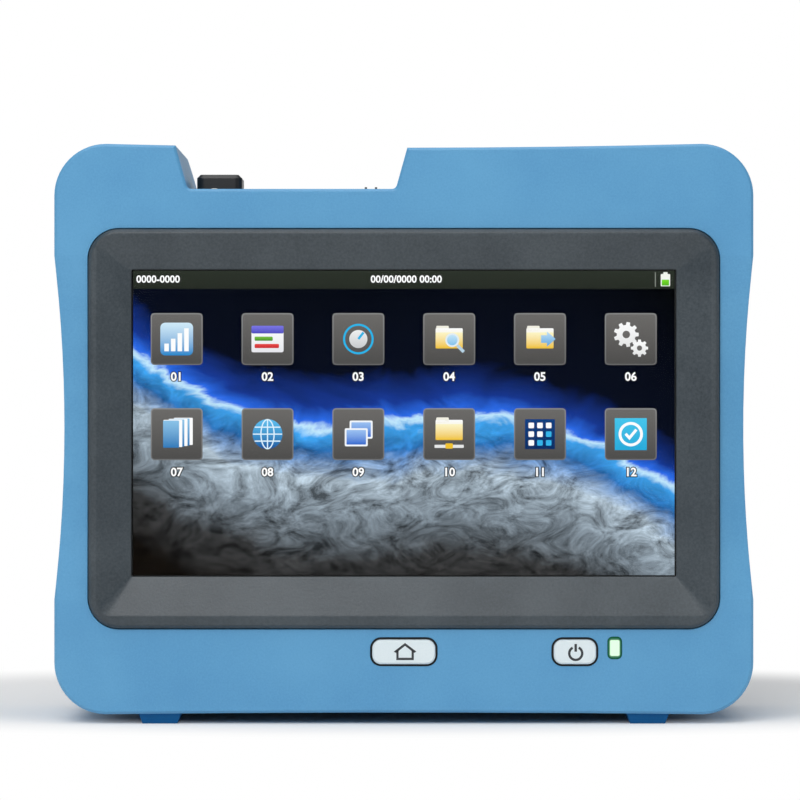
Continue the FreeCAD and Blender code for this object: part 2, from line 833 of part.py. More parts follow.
def make_screen_bezel():
    body = new_body("screen_bezel")
    pad(body, "front", "crest", "seat", bezel_loop("0"))
    round_edges(body, "bezel_edge", edge_at("Y", "crest"), "Chamfer")
    loft(body, "SubtractiveLoft", "front", ("crest", crest_loop()),
         ("seat - screen_lip", screen_loop("0", "0.5")))
    pocket(body, "front", "seat - screen_lip", "seat", screen_loop("0", "0.5"))


def make_display():
    glass = new_body("touch_glass")
    pad(glass, "front", "seat", "glass_back", screen_loop("glass_border", "1.7"))
    gasket = new_body("display_gasket")
    pad(gasket, "front", "glass_back", "hall", screen_loop("glass_border", "1.7"),
        around("0", "screen_middle", "picture_width / 2", "picture_height / 2"))
    panel = new_body("lcd_panel")
    outline = around("0", "screen_middle", "panel_width / 2", "panel_height / 2")
    pad(panel, "front", "hall", "backlight_front", outline)
    backlight = new_body("backlight")
    pad(backlight, "front", "backlight_front", "frame_front", outline)


def make_lcd_frame():
    """Folded sheet tray that clamps the display, with four screw ears."""
    body = new_body("lcd_frame")
    pad(body, "front", "hall", "frame_back",
        softened(around("0", "screen_middle", "frame_half", "frame_rise"), "1.5"))
    pocket(body, "front", "hall", "frame_front",
           around("0", "screen_middle", "frame_half - frame_sheet", "frame_rise - frame_sheet"))
    for side in (-1, 1):
        for rise in (-1, 1):
            ends = sorted((f"{side} * (frame_half - 2)", f"{side} * (frame_half + 2 * frame_ear)"),
                          key=size)
            level = f"screen_middle + {rise} * frame_screw_rise"
            pad(body, "front", "frame_front", "frame_back",
                softened(rectangle(ends[0], f"{level} - frame_ear", ends[1], f"{level} + frame_ear"),
                         "2"))
    pocket(body, "front", "frame_front", "frame_back", *discs(FRAME_SCREWS, "small_screw / 2 + fit_gap"))


# ---- buttons -------------------------------------------------------------

def make_keypad():
    """Black silicone sheet with a collar round each button."""
    body = new_body("keypad")
    pad(body, "front", "keypad_front", "keypad_back",
        rectangle("-keypad_left + 0.2", "button_middle - keypad_height / 2",
                  "keypad_right - 0.2", "button_middle + keypad_height / 2"))
    for place, width in BUTTONS:
        pad(body, "front", "face + 0.15", "keypad_front",
            button_loop(place, width, "button_gap + collar_width - fit_gap"))
    for place, width in BUTTONS:
        pocket(body, "front", "face + 0.15", "keypad_back", button_loop(place, width, "button_gap"))
    pocket(body, "front", "keypad_front", "keypad_back", light_loop("fit_gap"))


def make_button(label, place, width):
    body = new_body(label)
    pad(body, "front", "face - button_proud", "flange_front", button_loop(place, width, "0"))
    round_edges(body, "button_edge", edge_at("Y", "face - button_proud"), "Chamfer")
    pad(body, "front", "flange_front", "flange_back", button_loop(place, width, "button_flange"))


def make_button_board():
    body = new_body("button_board")
    pad(body, "front", "key_board", "key_board + board_thickness",
        rectangle("-keypad_left + 1", "button_middle - 5.6", "keypad_right - 1", "button_middle + 5.6"))
    switches = new_body("tact_switches")
    for place, _ in BUTTONS:
        pad(switches, "front", "switch_front + 0.5", "key_board",
            around(place, "button_middle", "switch_size / 2", "switch_size / 2"))
        pad(switches, "front", "switch_front", "switch_front + 0.5", (place, "button_middle", "1.7"))
    light = new_body("status_light")
    pad(light, "front", "face - 0.1", "key_board", light_loop("0"))
    round_edges(light, "button_edge", edge_at("Y", "face - 0.1"), "Chamfer")


# ---- electronics ---------------------------------------------------------

def make_boards():
    board = new_body("main_board")
    pad(board, "front", "board_front", "board_back",
        softened(around("0", "screen_middle", "main_width / 2", "main_height / 2"), "2"))
    pocket(board, "front", "board_front", "board_back",
           *discs(STANDOFFS, "small_screw / 2 + fit_gap"))
    posts = new_body("board_standoffs")
    pad(posts, "front", "frame_back", "board_front",
        *[hexagon(x, z, "standoff_size / 2") for x, z in STANDOFFS])
    pocket(posts, "front", "board_front - standoff_bore", "board_front",
           *discs(STANDOFFS, "small_screw / 2 + fit_gap"))
    shield = new_body("processor_shield")
    pad(shield, "front", "board_front - shield_thickness", "board_front",
        softened(around("-shield_place", "screen_middle", "shield_width / 2", "shield_height / 2"), "1"))
    radio = new_body("radio_module")
    pad(radio, "front", "board_front - radio_thickness", "board_front",
        around("radio_place", "screen_middle + radio_rise", "radio_width / 2", "radio_height / 2"))
    cell = new_body("clock_battery")
    pad(cell, "front", "board_front - cell_thickness", "board_front",
        ("cell_place", "screen_middle - cell_drop", "cell_size / 2"))


def make_optics():
    box = new_body("optics_module")
    outline = softened(around("-optics_place", "upper_middle", "optics_width / 2",
                              "optics_height / 2"), "3")
    pad(box, "front", "board_back", "board_back + optics_depth", outline)
    pocket(box, "front", "board_back + 2", "board_back + optics_depth",
           around("-optics_place", "upper_middle", "optics_width / 2 - 3", "optics_height / 2 - 3"))
    lid = new_body("optics_lid")
    pad(lid, "front", "board_back + optics_depth", "board_back + optics_depth + optics_lid", outline)
    spool = new_body("fibre_spool")
    centre = ("spool_place", "upper_middle")
    pad(spool, "front", "board_back", "board_back + spool_depth", centre + ("spool_core / 2",))
    pad(spool, "front", "board_back", "board_back + spool_rim", centre + ("spool_size / 2",))
    pad(spool, "front", "board_back + spool_depth - spool_rim", "board_back + spool_depth",
        centre + ("spool_size / 2",))
    coil = new_body("fibre_coil")
    pad(coil, "front", "board_back + spool_rim", "board_back + spool_depth - spool_rim",
        centre + ("spool_size / 2 - 1.5",), centre + ("spool_core / 2",))


def make_speaker():
    body = new_body("speaker")
    centre = ("speaker_place", "speaker_middle")
    pad(body, "front", "back - wall - speaker_depth", "back - wall - speaker_rim",
        centre + ("speaker_size / 2 - speaker_step",))
    pad(body, "front", "back - wall - speaker_rim", "back - wall", centre + ("speaker_size / 2",))


# ---- battery -------------------------------------------------------------

def make_battery():
    pack = new_body("battery_pack")
    pad(pack, "front", "well_floor", "well_floor + battery_thickness",
        softened(around("0", "battery_middle", "battery_width / 2", "battery_height / 2"),
                 "battery_round"))
    contacts = new_body("battery_contacts")
    pad(contacts, "front", "board_back", "well_floor",
        around("0", "contact_place", "contact_width / 2", "contact_height / 2"))
    seal = new_body("battery_door_seal")
    pad(seal, "front", "door_front - door_seal", "door_front",
        softened(around("0", "battery_middle", "well_half - fit_gap", "well_rise - fit_gap"),
                 "battery_round"),
        softened(around("0", "battery_middle", "well_half - 3", "well_rise - 3"), "1"))
    door = new_body("battery_door")
    pad(door, "front", "door_front", "back",
        softened(around("0", "battery_middle", "door_half - door_gap", "door_rise - door_gap"),
                 "door_radius - door_gap"))
    pocket(door, "front", "door_front", "back", *discs(DOOR_SCREWS, "small_screw / 2 + fit_gap"))
    pocket(door, "front", "back - small_head_height - 0.1", "back",
           *discs(DOOR_SCREWS, "small_head / 2 + 0.2"))


# ---- stand ---------------------------------------------------------------

def make_stand():
    body = new_body("tilt_stand")
    pad(body, "front", "stand_front", "stand_back", stand_loop("0"))
    corners = [(f"{side} * stand_half", "stand_low") for side in (-1, 1)]
    round_edges(body, "stand_corner", edge_along("Y", corners))
    round_edges(body, "stand_thickness / 2 - 0.05", edge_at("Z", "stand_pivot + stand_thickness / 2"))
    for side in (-1, 1):
        ends = sorted((f"{side} * stand_half", f"{side} * (stand_half - stand_leg)"), key=size)
        pocket(body, "side", *ends, ("stand_axis", "stand_pivot", "stand_pin / 2 + running_gap"))
    pins = new_body("stand_pins")
    for side in (-1, 1):
        ends = sorted((f"{side} * (stand_half + stand_gap + pin_hold)",
                       f"{side} * (stand_half - stand_leg - stand_gap - pin_hold)"), key=size)
        pad(pins, "side", *ends, ("stand_axis", "stand_pivot", "stand_pin / 2"))


# ---- optical ports -------------------------------------------------------

def make_tray():
    body = new_body("port_tray")
    pad(body, "top", "deck - tray_floor", "ledge",
        softened(rectangle("trough_left - tray_wall", "-trough_reach - tray_wall",
                           "trough_right + tray_wall", "trough_reach + tray_wall"), "2"))
    pocket(body, "top", "deck", "ledge",
           rectangle("trough_left", "-trough_reach", "trough_right", "trough_reach"))
    pocket(body, "top", "deck - tray_floor", "deck",
           around("-otdr_place", "0", "adapter_width / 2 + fit_gap", "adapter_length / 2 + fit_gap"),
           ("-fault_place", "0", "barrel_size / 2 + fit_gap"),
           ("-meter_place", "0", "barrel_size / 2 + fit_gap"))


def add_flange(body, place, level):
    """The port's mounting flange with the lug of its cap's hinge."""
    pad(body, "top", "deck", "deck + flange_plate",
        softened(around(place, "0", "flange_width / 2 - 0.6", "flange_length / 2 + 1"), "1.5"))
    lug = [f"{place} - hinge_lug / 2", f"{place} + hinge_lug / 2"]
    pad(body, "side", *lug,
        [("hinge_back - hinge_pin", "deck + flange_plate - 0.2"),
         ("hinge_back + hinge_pin", "deck + flange_plate - 0.2"),
         ("hinge_back + hinge_pin", level, "hinge_pin"),
         ("hinge_back", f"{level} + hinge_pin", "hinge_pin"),
         ("hinge_back - hinge_pin", level)])
    pocket(body, "side", *lug, ("hinge_back", level, "hinge_pin / 2 + fit_gap / 2"))


def flap_loop(front, axis_y, axis_z, radius):
    """A flap seen from the side, with its half-round end about a hinge's axis."""
    return [(front, f"{axis_z} - {radius}"), (axis_y, f"{axis_z} - {radius}", radius),
            (f"{axis_y} + {radius}", axis_z, radius), (axis_y, f"{axis_z} + {radius}"),
            (front, f"{axis_z} + {radius}")]


def add_knuckles(body, place, level, half, front):
    """Two hinge knuckles at the back of a cap, each with its arm to the cap."""
    for side in (-1, 1):
        ends = sorted((f"{place} + {side} * ({half})",
                       f"{place} + {side} * (hinge_lug / 2 + cap_gap)"), key=size)
        pad(body, "side", *ends, flap_loop(front, "hinge_back", level, "hinge_knuckle / 2"))
        pocket(body, "side", *ends, ("hinge_back", level, "hinge_pin / 2 + running_gap"))


def make_pin(label, place, level, half):
    body = new_body(label)
    pad(body, "side", f"{place} - ({half})", f"{place} + ({half})",
        ("hinge_back", level, "hinge_pin / 2"))


def make_otdr_port():
    place = "-otdr_place"
    body = new_body("otdr_port")
    add_flange(body, place, "hinge_z")
    pad(body, "top", "deck - adapter_drop", "deck + adapter_rise",
        around(place, "0", "adapter_width / 2", "adapter_length / 2"))
    pocket(body, "top", "deck + adapter_rise - socket_depth", "deck + adapter_rise",
           around(place, "0", "socket_width / 2", "socket_length / 2"))
    ferrule = new_body("otdr_ferrule")
    pad(ferrule, "top", "deck + adapter_rise - socket_depth",
        "deck + adapter_rise - ferrule_recess", (place, "0", "ferrule_size / 2"))
    # the cap's back is open below the hinge, so that it swings clear of the adapter
    cap = new_body("otdr_cap")
    inner = "adapter_width / 2 + cap_gap"
    pad(cap, "top", "deck + flange_plate + cap_gap", "deck + cap_rise",
        softened(around(place, "0", "cap_width / 2", "cap_length / 2"), "cap_edge"))
    round_edges(cap, "cap_top_edge", edge_at("Z", "deck + cap_rise"), "Chamfer")
    pocket(cap, "top", "deck + flange_plate + cap_gap", "deck + cap_rise - cap_roof",
           around(place, "0", inner, "adapter_length / 2 + cap_gap"))
    pocket(cap, "top", "deck + flange_plate + cap_gap", "hinge_z + swing_gap",
           rectangle(f"{place} - ({inner})", "0", f"{place} + {inner}", "cap_length / 2 + 1"))
    add_knuckles(cap, place, "hinge_z", "cap_width / 2 - 0.3", "cap_length / 2 - 1")
    marker = new_body("otdr_cap_marker")
    pad(marker, "front", "-cap_length / 2 - marker_proud", "-cap_length / 2",
        (f"{place} - marker_shift", "deck + cap_rise - marker_drop", "marker_size / 2"))
    make_pin("otdr_cap_pin", place, "hinge_z", "cap_width / 2 - 0.3")


def make_round_port(name, place):
    body = new_body(name + "_port")
    add_flange(body, place, "round_hinge_z")
    pad(body, "top", "deck - adapter_drop", "deck + barrel_rise", (place, "0", "barrel_size / 2"))
    pocket(body, "top", "deck - adapter_drop + 2", "deck + barrel_rise",
           (place, "0", "barrel_bore / 2"))
    cap = new_body(name + "_cap")
    low, roof = "deck + flange_plate + cap_gap", "deck + round_cap_rise - cap_roof"
    bore = "barrel_size / 2 + cap_gap"
    pad(cap, "top", low, "deck + round_cap_rise", (place, "0", "round_cap_size / 2"))
    round_edges(cap, "cap_top_edge", edge_at("Z", "deck + round_cap_rise"), "Chamfer")
    add_knuckles(cap, place, "round_hinge_z", "round_cap_size / 2 - 0.5", "2")
    pocket(cap, "top", low, roof, (place, "0", bore))
    for half, top in (("hinge_lug / 2 + swing_gap", "round_hinge_z + swing_gap"),
                      (bore, "round_hinge_z - hinge_knuckle / 2")):
        pocket(cap, "top", low, top,
               rectangle(f"{place} - ({half})", "0", f"{place} + ({half})", "round_cap_size"))
    if name == "power_meter":
        add_ridges(cap, place)
    make_pin(name + "_cap_pin", place, "round_hinge_z", "round_cap_size / 2 - 0.5")


def add_ridges(cap, place):
    """Two thin finger ridges that stand up behind the cap's top."""
    for side in (-1, 1):
        middle = f"{place} + {side} * ridge_spread / 2"
        pad(cap, "side", f"{middle} - ridge_width / 2", f"{middle} + ridge_width / 2",
            [("1", "deck + round_cap_rise - 0.5"), ("4.6", "deck + round_cap_rise - 0.5"),
             ("4.6", "deck + ridge_top"), ("3.4", "deck + ridge_top")])


# ---- electrical sockets --------------------------------------------------

SOCKET_SIZES = (("power_inlet", "inlet_size", "inlet_size"),
                ("data_socket", "data_width", "data_length"),
                ("usb_socket", "usb_width", "usb_length"),
                ("network_socket", "network_width", "network_length"))


def lay_out_sockets():
    """Place the sockets side by side from the left end of the bay."""
    row = []
    start = "bay_left + socket_gap"
    for label, width, length in SOCKET_SIZES:
        row.append((label, f"({start} + {width} / 2)", width, length))
        start = f"{start} + {width} + socket_gap"
    return row


SOCKETS = lay_out_sockets()


def make_sockets():
    board = new_body("socket_board")
    pad(board, "top", "socket_board - board_thickness", "socket_board",
        rectangle("bay_left - 1", "bay_front - 1", "bay_right + 0.5", "bay_back + 1"))
    for label, place, width, length in SOCKETS:
        body = new_body(label)
        pad(body, "top", "socket_board", "socket_top",
            around(place, "bay_middle", f"{width} / 2", f"{length} / 2"))
        if label == "power_inlet":
            pocket(body, "top", "socket_top - 10", "socket_top",
                   (place, "bay_middle", "inlet_bore / 2"), (place, "bay_middle", "inlet_pin / 2"))
        elif label == "network_socket":
            pocket(body, "top", "socket_top - 12", "socket_top",
                   around(place, "bay_middle", "5.9", "4.2"))
            pocket(body, "top", "socket_top - 9", "socket_top",
                   rectangle(f"{place} - 3", "bay_middle - 5.6", f"{place} + 3", "bay_middle - 4"))
        else:
            hollow = [f"{width} / 2 - 0.9", f"{length} / 2 - 1"]
            pocket(body, "top", "socket_top - 8", "socket_top", around(place, "bay_middle", *hollow))
            pad(body, "top", "socket_top - 8", "socket_top - 1",
                around(place, "bay_middle", f"{width} / 2 - 1.6", "0.5"))


def make_cover():
    body = new_body("port_cover")
    left, right = "bay_left + cover_gap", "bay_right - cover_gap"
    pad(body, "side", left, right,
        flap_loop("bay_front + cover_gap", "cover_axis_y", "cover_axis_z", "cover_thickness / 2"))
    rib = ["cover_rib_drop", "(cover_rib_drop + cover_rib)"]
    loops = [rectangle(f"{left} + {inset}", f"bay_front + cover_gap + {inset}",
                       f"{right} - {inset}", f"cover_axis_y - 1.2 - {inset}") for inset in rib]
    pad(body, "top", "cover_top - cover_thickness - 1.6", "cover_axis_z", *loops)
    pocket(body, "side", left, right, ("cover_axis_y", "cover_axis_z", "cover_pin / 2 + running_gap"))
    pin = new_body("port_cover_pin")
    pad(pin, "side", "bay_left - bay_wall", "bay_right + bay_wall",
        ("cover_axis_y", "cover_axis_z", "cover_pin / 2"))


# ---- stylus --------------------------------------------------------------

def make_stylus():
    body = new_body("stylus")
    pad(body, "top", "stylus_end + stylus_tip", "stylus_top", ("stylus_place", "0", "stylus_size / 2"))
    round_edges(body, "stylus_point", edge_at("Z", "stylus_top"), "Chamfer")
    taper = body.newObject("PartDesign::AdditiveLoft", "taper")
    wide = draw(body, "top", "stylus_end + stylus_tip", [("stylus_place", "0", "stylus_size / 2")])
    narrow = draw(body, "top", "stylus_end", [("stylus_place", "0", "stylus_point")])
    taper.Profile = wide
    taper.Sections = [narrow]
    tube = new_body("stylus_tube")
    outer = ("stylus_place", "0", "stylus_size / 2 + stylus_gap + tube_wall")
    pad(tube, "top", "stylus_end - 0.2 - tube_wall", "case_height - top_hollow - wall - 0.1", outer)
    pocket(tube, "top", "stylus_end - 0.2", "case_height - top_hollow - wall - 0.1",
           ("stylus_place", "0", "stylus_size / 2 + stylus_gap"))


# ---- assembly ------------------------------------------------------------

make_front_housing()
make_rear_housing()
make_housing_gasket()
make_screws("housing_screws", CASE_SCREWS, "screw_seat", "screw_head / 2", "screw_head_height",
            "screw_size / 2", "screw_seat_depth + screw_bite - 1", 1)
make_feet("front_feet", FEET_FRONT)
make_feet("rear_feet", FEET_REAR)
make_screen_bezel()
make_display()
make_lcd_frame()
make_screws("lcd_screws", FRAME_SCREWS, "frame_back", "small_head / 2", "small_head_height",
            "small_screw / 2", "frame_back - hall - 0.3", 1)
make_keypad()
make_button("home_button", *BUTTONS[0])
make_button("power_button", *BUTTONS[1])
make_button_board()
make_boards()
make_screws("board_screws", STANDOFFS, "board_back", "small_head / 2", "small_head_height",
            "small_screw / 2", "board_thickness + 4", 1)
make_optics()
make_speaker()
make_battery()
make_screws("battery_door_screws", DOOR_SCREWS, "back - small_head_height - 0.1", "small_head / 2",
            "small_head_height", "small_screw / 2", "door_thickness + 0.2", 1)
make_stand()
make_tray()
make_otdr_port()
make_round_port("fault_locator", "-fault_place")
make_round_port("power_meter", "-meter_place")
make_sockets()
make_cover()
make_stylus()


def finish():
    """Check every object and write each piece to its own file."""
    doc.recompute()
    for thing in doc.Objects:
        states = set(thing.State)
        if states & {"Invalid", "Error"}:
            raise RuntimeError(f"{thing.Label} did not build: {sorted(states)}")
    for body in bodies:
        if body.Shape.isNull() or not body.Shape.isValid() or not body.Shape.Solids:
            raise RuntimeError(f"{body.Label} has no sound shape")
    os.makedirs("parts", exist_ok=True)
    for body in bodies:
        body.Shape.exportStep(f"parts/{body.Label}.step")


finish()
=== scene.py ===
import math

import bmesh
import bpy
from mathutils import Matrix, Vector


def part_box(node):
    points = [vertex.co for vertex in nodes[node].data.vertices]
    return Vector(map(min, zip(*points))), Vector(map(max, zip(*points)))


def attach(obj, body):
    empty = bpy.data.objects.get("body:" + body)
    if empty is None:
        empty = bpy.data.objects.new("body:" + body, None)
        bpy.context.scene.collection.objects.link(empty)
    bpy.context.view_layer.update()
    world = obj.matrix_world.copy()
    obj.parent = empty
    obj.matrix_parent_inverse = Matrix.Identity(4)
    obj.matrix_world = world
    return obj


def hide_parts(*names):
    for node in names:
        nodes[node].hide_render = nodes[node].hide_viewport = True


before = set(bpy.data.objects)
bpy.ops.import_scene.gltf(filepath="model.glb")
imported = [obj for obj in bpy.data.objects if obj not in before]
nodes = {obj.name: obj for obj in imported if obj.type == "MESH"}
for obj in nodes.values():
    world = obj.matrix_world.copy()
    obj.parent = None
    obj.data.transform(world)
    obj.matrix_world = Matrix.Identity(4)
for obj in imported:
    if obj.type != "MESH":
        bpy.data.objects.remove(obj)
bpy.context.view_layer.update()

mm = 0.001


# The studio: a white table in a white room, one large soft box in front, one overhead and
# one at each side, and dark flags beyond them that give glossy faces their shading.
LENS, SENSOR = 160, 36               # mm
EYE = (-0.0011, -1.049, 0.0927)      # level with the middle of the screen
CASE_MIDDLE = (0, 0, 0.08)
LAMPS = (                            # name, width and height in m, power in W, place
    ("soft_box_front", (1.3, 1.0), 22.6, (-0.5, -1.65, 1.6)),
    ("soft_box_left", (0.6, 0.9), 1.6, (-1.35, -0.65, 0.35)),
    ("soft_box_right", (0.6, 0.9), 1.6, (1.35, -0.65, 0.35)),
    ("soft_box_overhead", (1.2, 0.9), 4.2, (0, -0.15, 1.15)))
ROOM_GIVES, ROOM_LOOKS = 0.33, 1.0   # light on matt faces, and the white that the eye sees
FLAG_START, FLAG_END, FLAG_WHITE = 0.12, 0.45, 0.1
TABLE_SIZE = 6.0
OVAL_START, OVAL_END = 0.15, 0.25    # m, where the table fades from shaded to pure white


def linear(code):
    """An sRGB hex colour as the linear RGBA that the shaders work in."""
    parts = [int(code[place:place + 2], 16) / 255 for place in (1, 3, 5)]
    return [p / 12.92 if p <= 0.04045 else ((p + 0.055) / 1.055) ** 2.4 for p in parts] + [1]


def add(tree, kind, inputs=(), **settings):
    """Add a node with its settings; each input is a (socket, value or output socket) pair."""
    node = tree.nodes.new(kind)
    for name, value in settings.items():
        setattr(node, name, value)
    for socket, value in inputs:
        if isinstance(value, bpy.types.NodeSocket):
            tree.links.new(value, node.inputs[socket])
        else:
            node.inputs[socket].default_value = value
    return node


def blank_material(name):
    """A new material and its node tree, empty."""
    material = bpy.data.materials.new(name)
    material.use_nodes = True
    material.node_tree.nodes.clear()
    return material, material.node_tree


view = bpy.data.cameras.new("camera")
view.lens, view.sensor_width = LENS, SENSOR
camera = bpy.data.objects.new("camera", view)
camera.location, camera.rotation_euler = EYE, (math.pi / 2, 0, 0)
bpy.context.scene.collection.objects.link(camera)
bpy.context.scene.camera = camera
bpy.context.scene.view_settings.view_transform = "Standard"

for name, size, power, at in LAMPS:
    lamp = bpy.data.lights.new(name, "AREA")
    lamp.shape, lamp.size, lamp.size_y, lamp.energy = "RECTANGLE", size[0], size[1], power
    stand = bpy.data.objects.new(name, lamp)
    stand.location = at
    aim = Vector(CASE_MIDDLE) - Vector(at)
    stand.rotation_euler = aim.to_track_quat("-Z", "Y").to_euler()
    bpy.context.scene.collection.objects.link(stand)

room = bpy.data.worlds.new("white_room")
bpy.context.scene.world = room
room.use_nodes = True
room.node_tree.nodes.clear()
ray = add(room.node_tree, "ShaderNodeLightPath")
seen = add(room.node_tree, "ShaderNodeMath", [(0, ray.outputs["Is Camera Ray"]),
           (1, ray.outputs["Is Glossy Ray"])], operation="MAXIMUM")
seen = add(room.node_tree, "ShaderNodeMath", [(0, seen.outputs[0]),
           (1, ray.outputs["Is Transmission Ray"])], operation="MAXIMUM")
strength = add(room.node_tree, "ShaderNodeMapRange", [("Value", seen.outputs[0]),
               ("To Min", ROOM_GIVES), ("To Max", ROOM_LOOKS)])
towards = add(room.node_tree, "ShaderNodeTexCoord")
towards = add(room.node_tree, "ShaderNodeSeparateXYZ", [(0, towards.outputs["Generated"])])
aside = add(room.node_tree, "ShaderNodeMath", [(0, towards.outputs["X"])],
            operation="ABSOLUTE")
flags = add(room.node_tree, "ShaderNodeMapRange", [("Value", aside.outputs[0]),
            ("From Min", FLAG_START), ("From Max", FLAG_END), ("To Min", ROOM_LOOKS),
            ("To Max", FLAG_WHITE)])
shown = add(room.node_tree, "ShaderNodeMix", [("Factor", ray.outputs["Is Glossy Ray"]),
            (2, strength.outputs["Result"]), (3, flags.outputs["Result"])])
glow = add(room.node_tree, "ShaderNodeBackground", [("Color", linear("#FFFFFF")),
           ("Strength", shown.outputs[0])])
add(room.node_tree, "ShaderNodeOutputWorld", [("Surface", glow.outputs[0])])

# Near the case the table takes shadows, and outside an oval it looks pure white. The oval
# is 1.8 times as wide as it is deep, about a point 60 mm behind the middle of the case.
bpy.ops.mesh.primitive_grid_add(x_subdivisions=2, y_subdivisions=2, size=TABLE_SIZE)
table = bpy.context.object
table.name = "table"
laminate, tree = blank_material("white_laminate")
spot = add(tree, "ShaderNodeTexCoord")
oval = add(tree, "ShaderNodeMapping", [("Vector", spot.outputs["Object"]),
           ("Location", (0, -0.108, 0)), ("Scale", (1, 1.8, 1))])
reach = add(tree, "ShaderNodeVectorMath", [(0, oval.outputs[0])], operation="LENGTH")
fade = add(tree, "ShaderNodeMapRange", [("Value", reach.outputs["Value"]),
           ("From Min", OVAL_START), ("From Max", OVAL_END)],
           interpolation_type="SMOOTHSTEP")
ray = add(tree, "ShaderNodeLightPath")
seen = add(tree, "ShaderNodeMath", [(0, ray.outputs["Is Camera Ray"]),
           (1, ray.outputs["Is Glossy Ray"])], operation="MAXIMUM")
share = add(tree, "ShaderNodeMath", [(0, seen.outputs[0]), (1, fade.outputs["Result"])],
            operation="MULTIPLY")
top = add(tree, "ShaderNodeBsdfDiffuse", [("Color", linear("#F6F6F6"))])
white = add(tree, "ShaderNodeEmission", [("Color", linear("#FFFFFF")), ("Strength", 1.0)])
both = add(tree, "ShaderNodeMixShader", [(0, share.outputs[0]), (1, top.outputs[0]),
           (2, white.outputs[0])])
add(tree, "ShaderNodeOutputMaterial", [("Surface", both.outputs[0])])
table.data.materials.append(laminate)


# The case: two halves, feet, stand and battery door moulded in one blue ABS blend.
# The mould is spark eroded, so the skin has a fine even grain and a soft sheen. The feet
# are the same blue, painted darker and duller as painted shade under the case.
CLOUD = 22        # mm, the width of the faint clouds in a moulded colour
SEAM_HALF = 0.13  # mm, half the width of the joint line between the two halves


def moulded(name, shade, darker, roughness, grain, depth, seam=None, edge=0.35, **fixed):
    """A moulded plastic or rubber: cloudy colour, a bump of the given grain, and edges that
    the mould leaves soft. A seam is the Y of a fine dark joint line. Sizes are in mm."""
    material, tree = blank_material(name)
    place = add(tree, "ShaderNodeTexCoord")
    soft = add(tree, "ShaderNodeBevel", [("Radius", edge * mm)], samples=6)
    cloud = add(tree, "ShaderNodeTexNoise", [("Vector", place.outputs["Object"]),
                ("Scale", 1 / (CLOUD * mm)), ("Detail", 3.0), ("Roughness", 0.5)])
    pit = add(tree, "ShaderNodeTexNoise", [("Vector", place.outputs["Object"]),
              ("Scale", 1 / (grain * mm)), ("Detail", 2.0), ("Roughness", 0.6)])
    both = add(tree, "ShaderNodeMath", [(0, cloud.outputs["Fac"]), (1, pit.outputs["Fac"])],
               operation="ADD")
    spread = add(tree, "ShaderNodeMapRange", [("Value", both.outputs[0]), ("From Min", 0.7),
                 ("From Max", 1.3)])
    tint = add(tree, "ShaderNodeMix", [("Factor", spread.outputs["Result"]),
               (6, linear(darker)), (7, linear(shade))], data_type="RGBA")
    matt = add(tree, "ShaderNodeMapRange", [("Value", pit.outputs["Fac"]), ("From Min", 0.3),
               ("From Max", 0.7), ("To Min", roughness - 0.05), ("To Max", roughness + 0.05)])
    dent = add(tree, "ShaderNodeBump", [("Height", pit.outputs["Fac"]), ("Strength", 1.0),
               ("Distance", depth * mm), ("Normal", soft.outputs[0])])
    colour = tint.outputs[2]
    if seam is not None:
        side = add(tree, "ShaderNodeSeparateXYZ", [(0, place.outputs["Object"])])
        off = add(tree, "ShaderNodeMath", [(0, side.outputs["Y"]), (1, seam),
                  (2, SEAM_HALF * mm)], operation="COMPARE")
        line = add(tree, "ShaderNodeMix", [("Factor", off.outputs[0]), (6, colour),
                   (7, linear("#1B3D5A"))], data_type="RGBA")
        colour = line.outputs[2]
    skin = add(tree, "ShaderNodeBsdfPrincipled", [("Base Color", colour),
               ("Roughness", matt.outputs["Result"]), ("Normal", dent.outputs[0])] +
               [(socket.replace("_", " "), value) for socket, value in fixed.items()])
    add(tree, "ShaderNodeOutputMaterial", [("Surface", skin.outputs[0])])
    return material


def dress(material, *names):
    """Give solids of the frame one material."""
    for name in names:
        mesh = nodes[name].data
        mesh.materials.clear()
        mesh.materials.append(material)


blue_abs = moulded("blue_moulded_abs", "#5FA3CF", "#5397C6", 0.42, 0.55, 0.012,
                   seam=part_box("front_housing")[1].y)
dress(blue_abs, "front_housing", "rear_housing", "battery_door", "tilt_stand")
# The feet: the same blue ABS with its colour painted darker, as painted shade under the case.
feet_painted_shade = moulded("blue_foot_abs_painted_shade", "#0A5F99", "#08578E", 0.6, 0.55, 0.012,
                   Specular_IOR_Level=0.2)
dress(feet_painted_shade, "front_feet", "rear_feet")


# The screen bezel: a dark grey PC and ABS frame, moulded by itself with a finer, deeper
# grain and rounder edges, that slopes down to the glass and drops into the case.
bezel_grey = moulded("grey_moulded_pc_abs", "#434C52", "#2C363D", 0.36, 0.7, 0.03, edge=0.7)
dress(bezel_grey, "screen_bezel")


# Seals, key mat and socket cover: soft black silicone, dull and slightly dusty.
silicone = moulded("black_moulded_silicone", "#17181A", "#121314", 0.6, 0.4, 0.006, IOR=1.41)
dress(silicone, "housing_gasket", "display_gasket", "keypad", "battery_door_seal",
      "port_cover")


# Port tray, dust caps, stylus and other small mouldings: black nylon, satin from the mould.
# The marker on the cap is a cream ABS dot that stands out against it.
black_nylon = moulded("black_moulded_nylon", "#202225", "#1A1C1E", 0.35, 0.4, 0.008)
dress(black_nylon, "port_tray", "otdr_cap", "fault_locator_cap", "power_meter_cap", "stylus",
      "stylus_tube", "tact_switches", "battery_contacts", "power_inlet", "speaker",
      "battery_pack")
cream_abs = moulded("cream_moulded_abs", "#EFE8D8", "#E8DFCC", 0.45, 0.4, 0.004)
dress(cream_abs, "otdr_cap_marker")


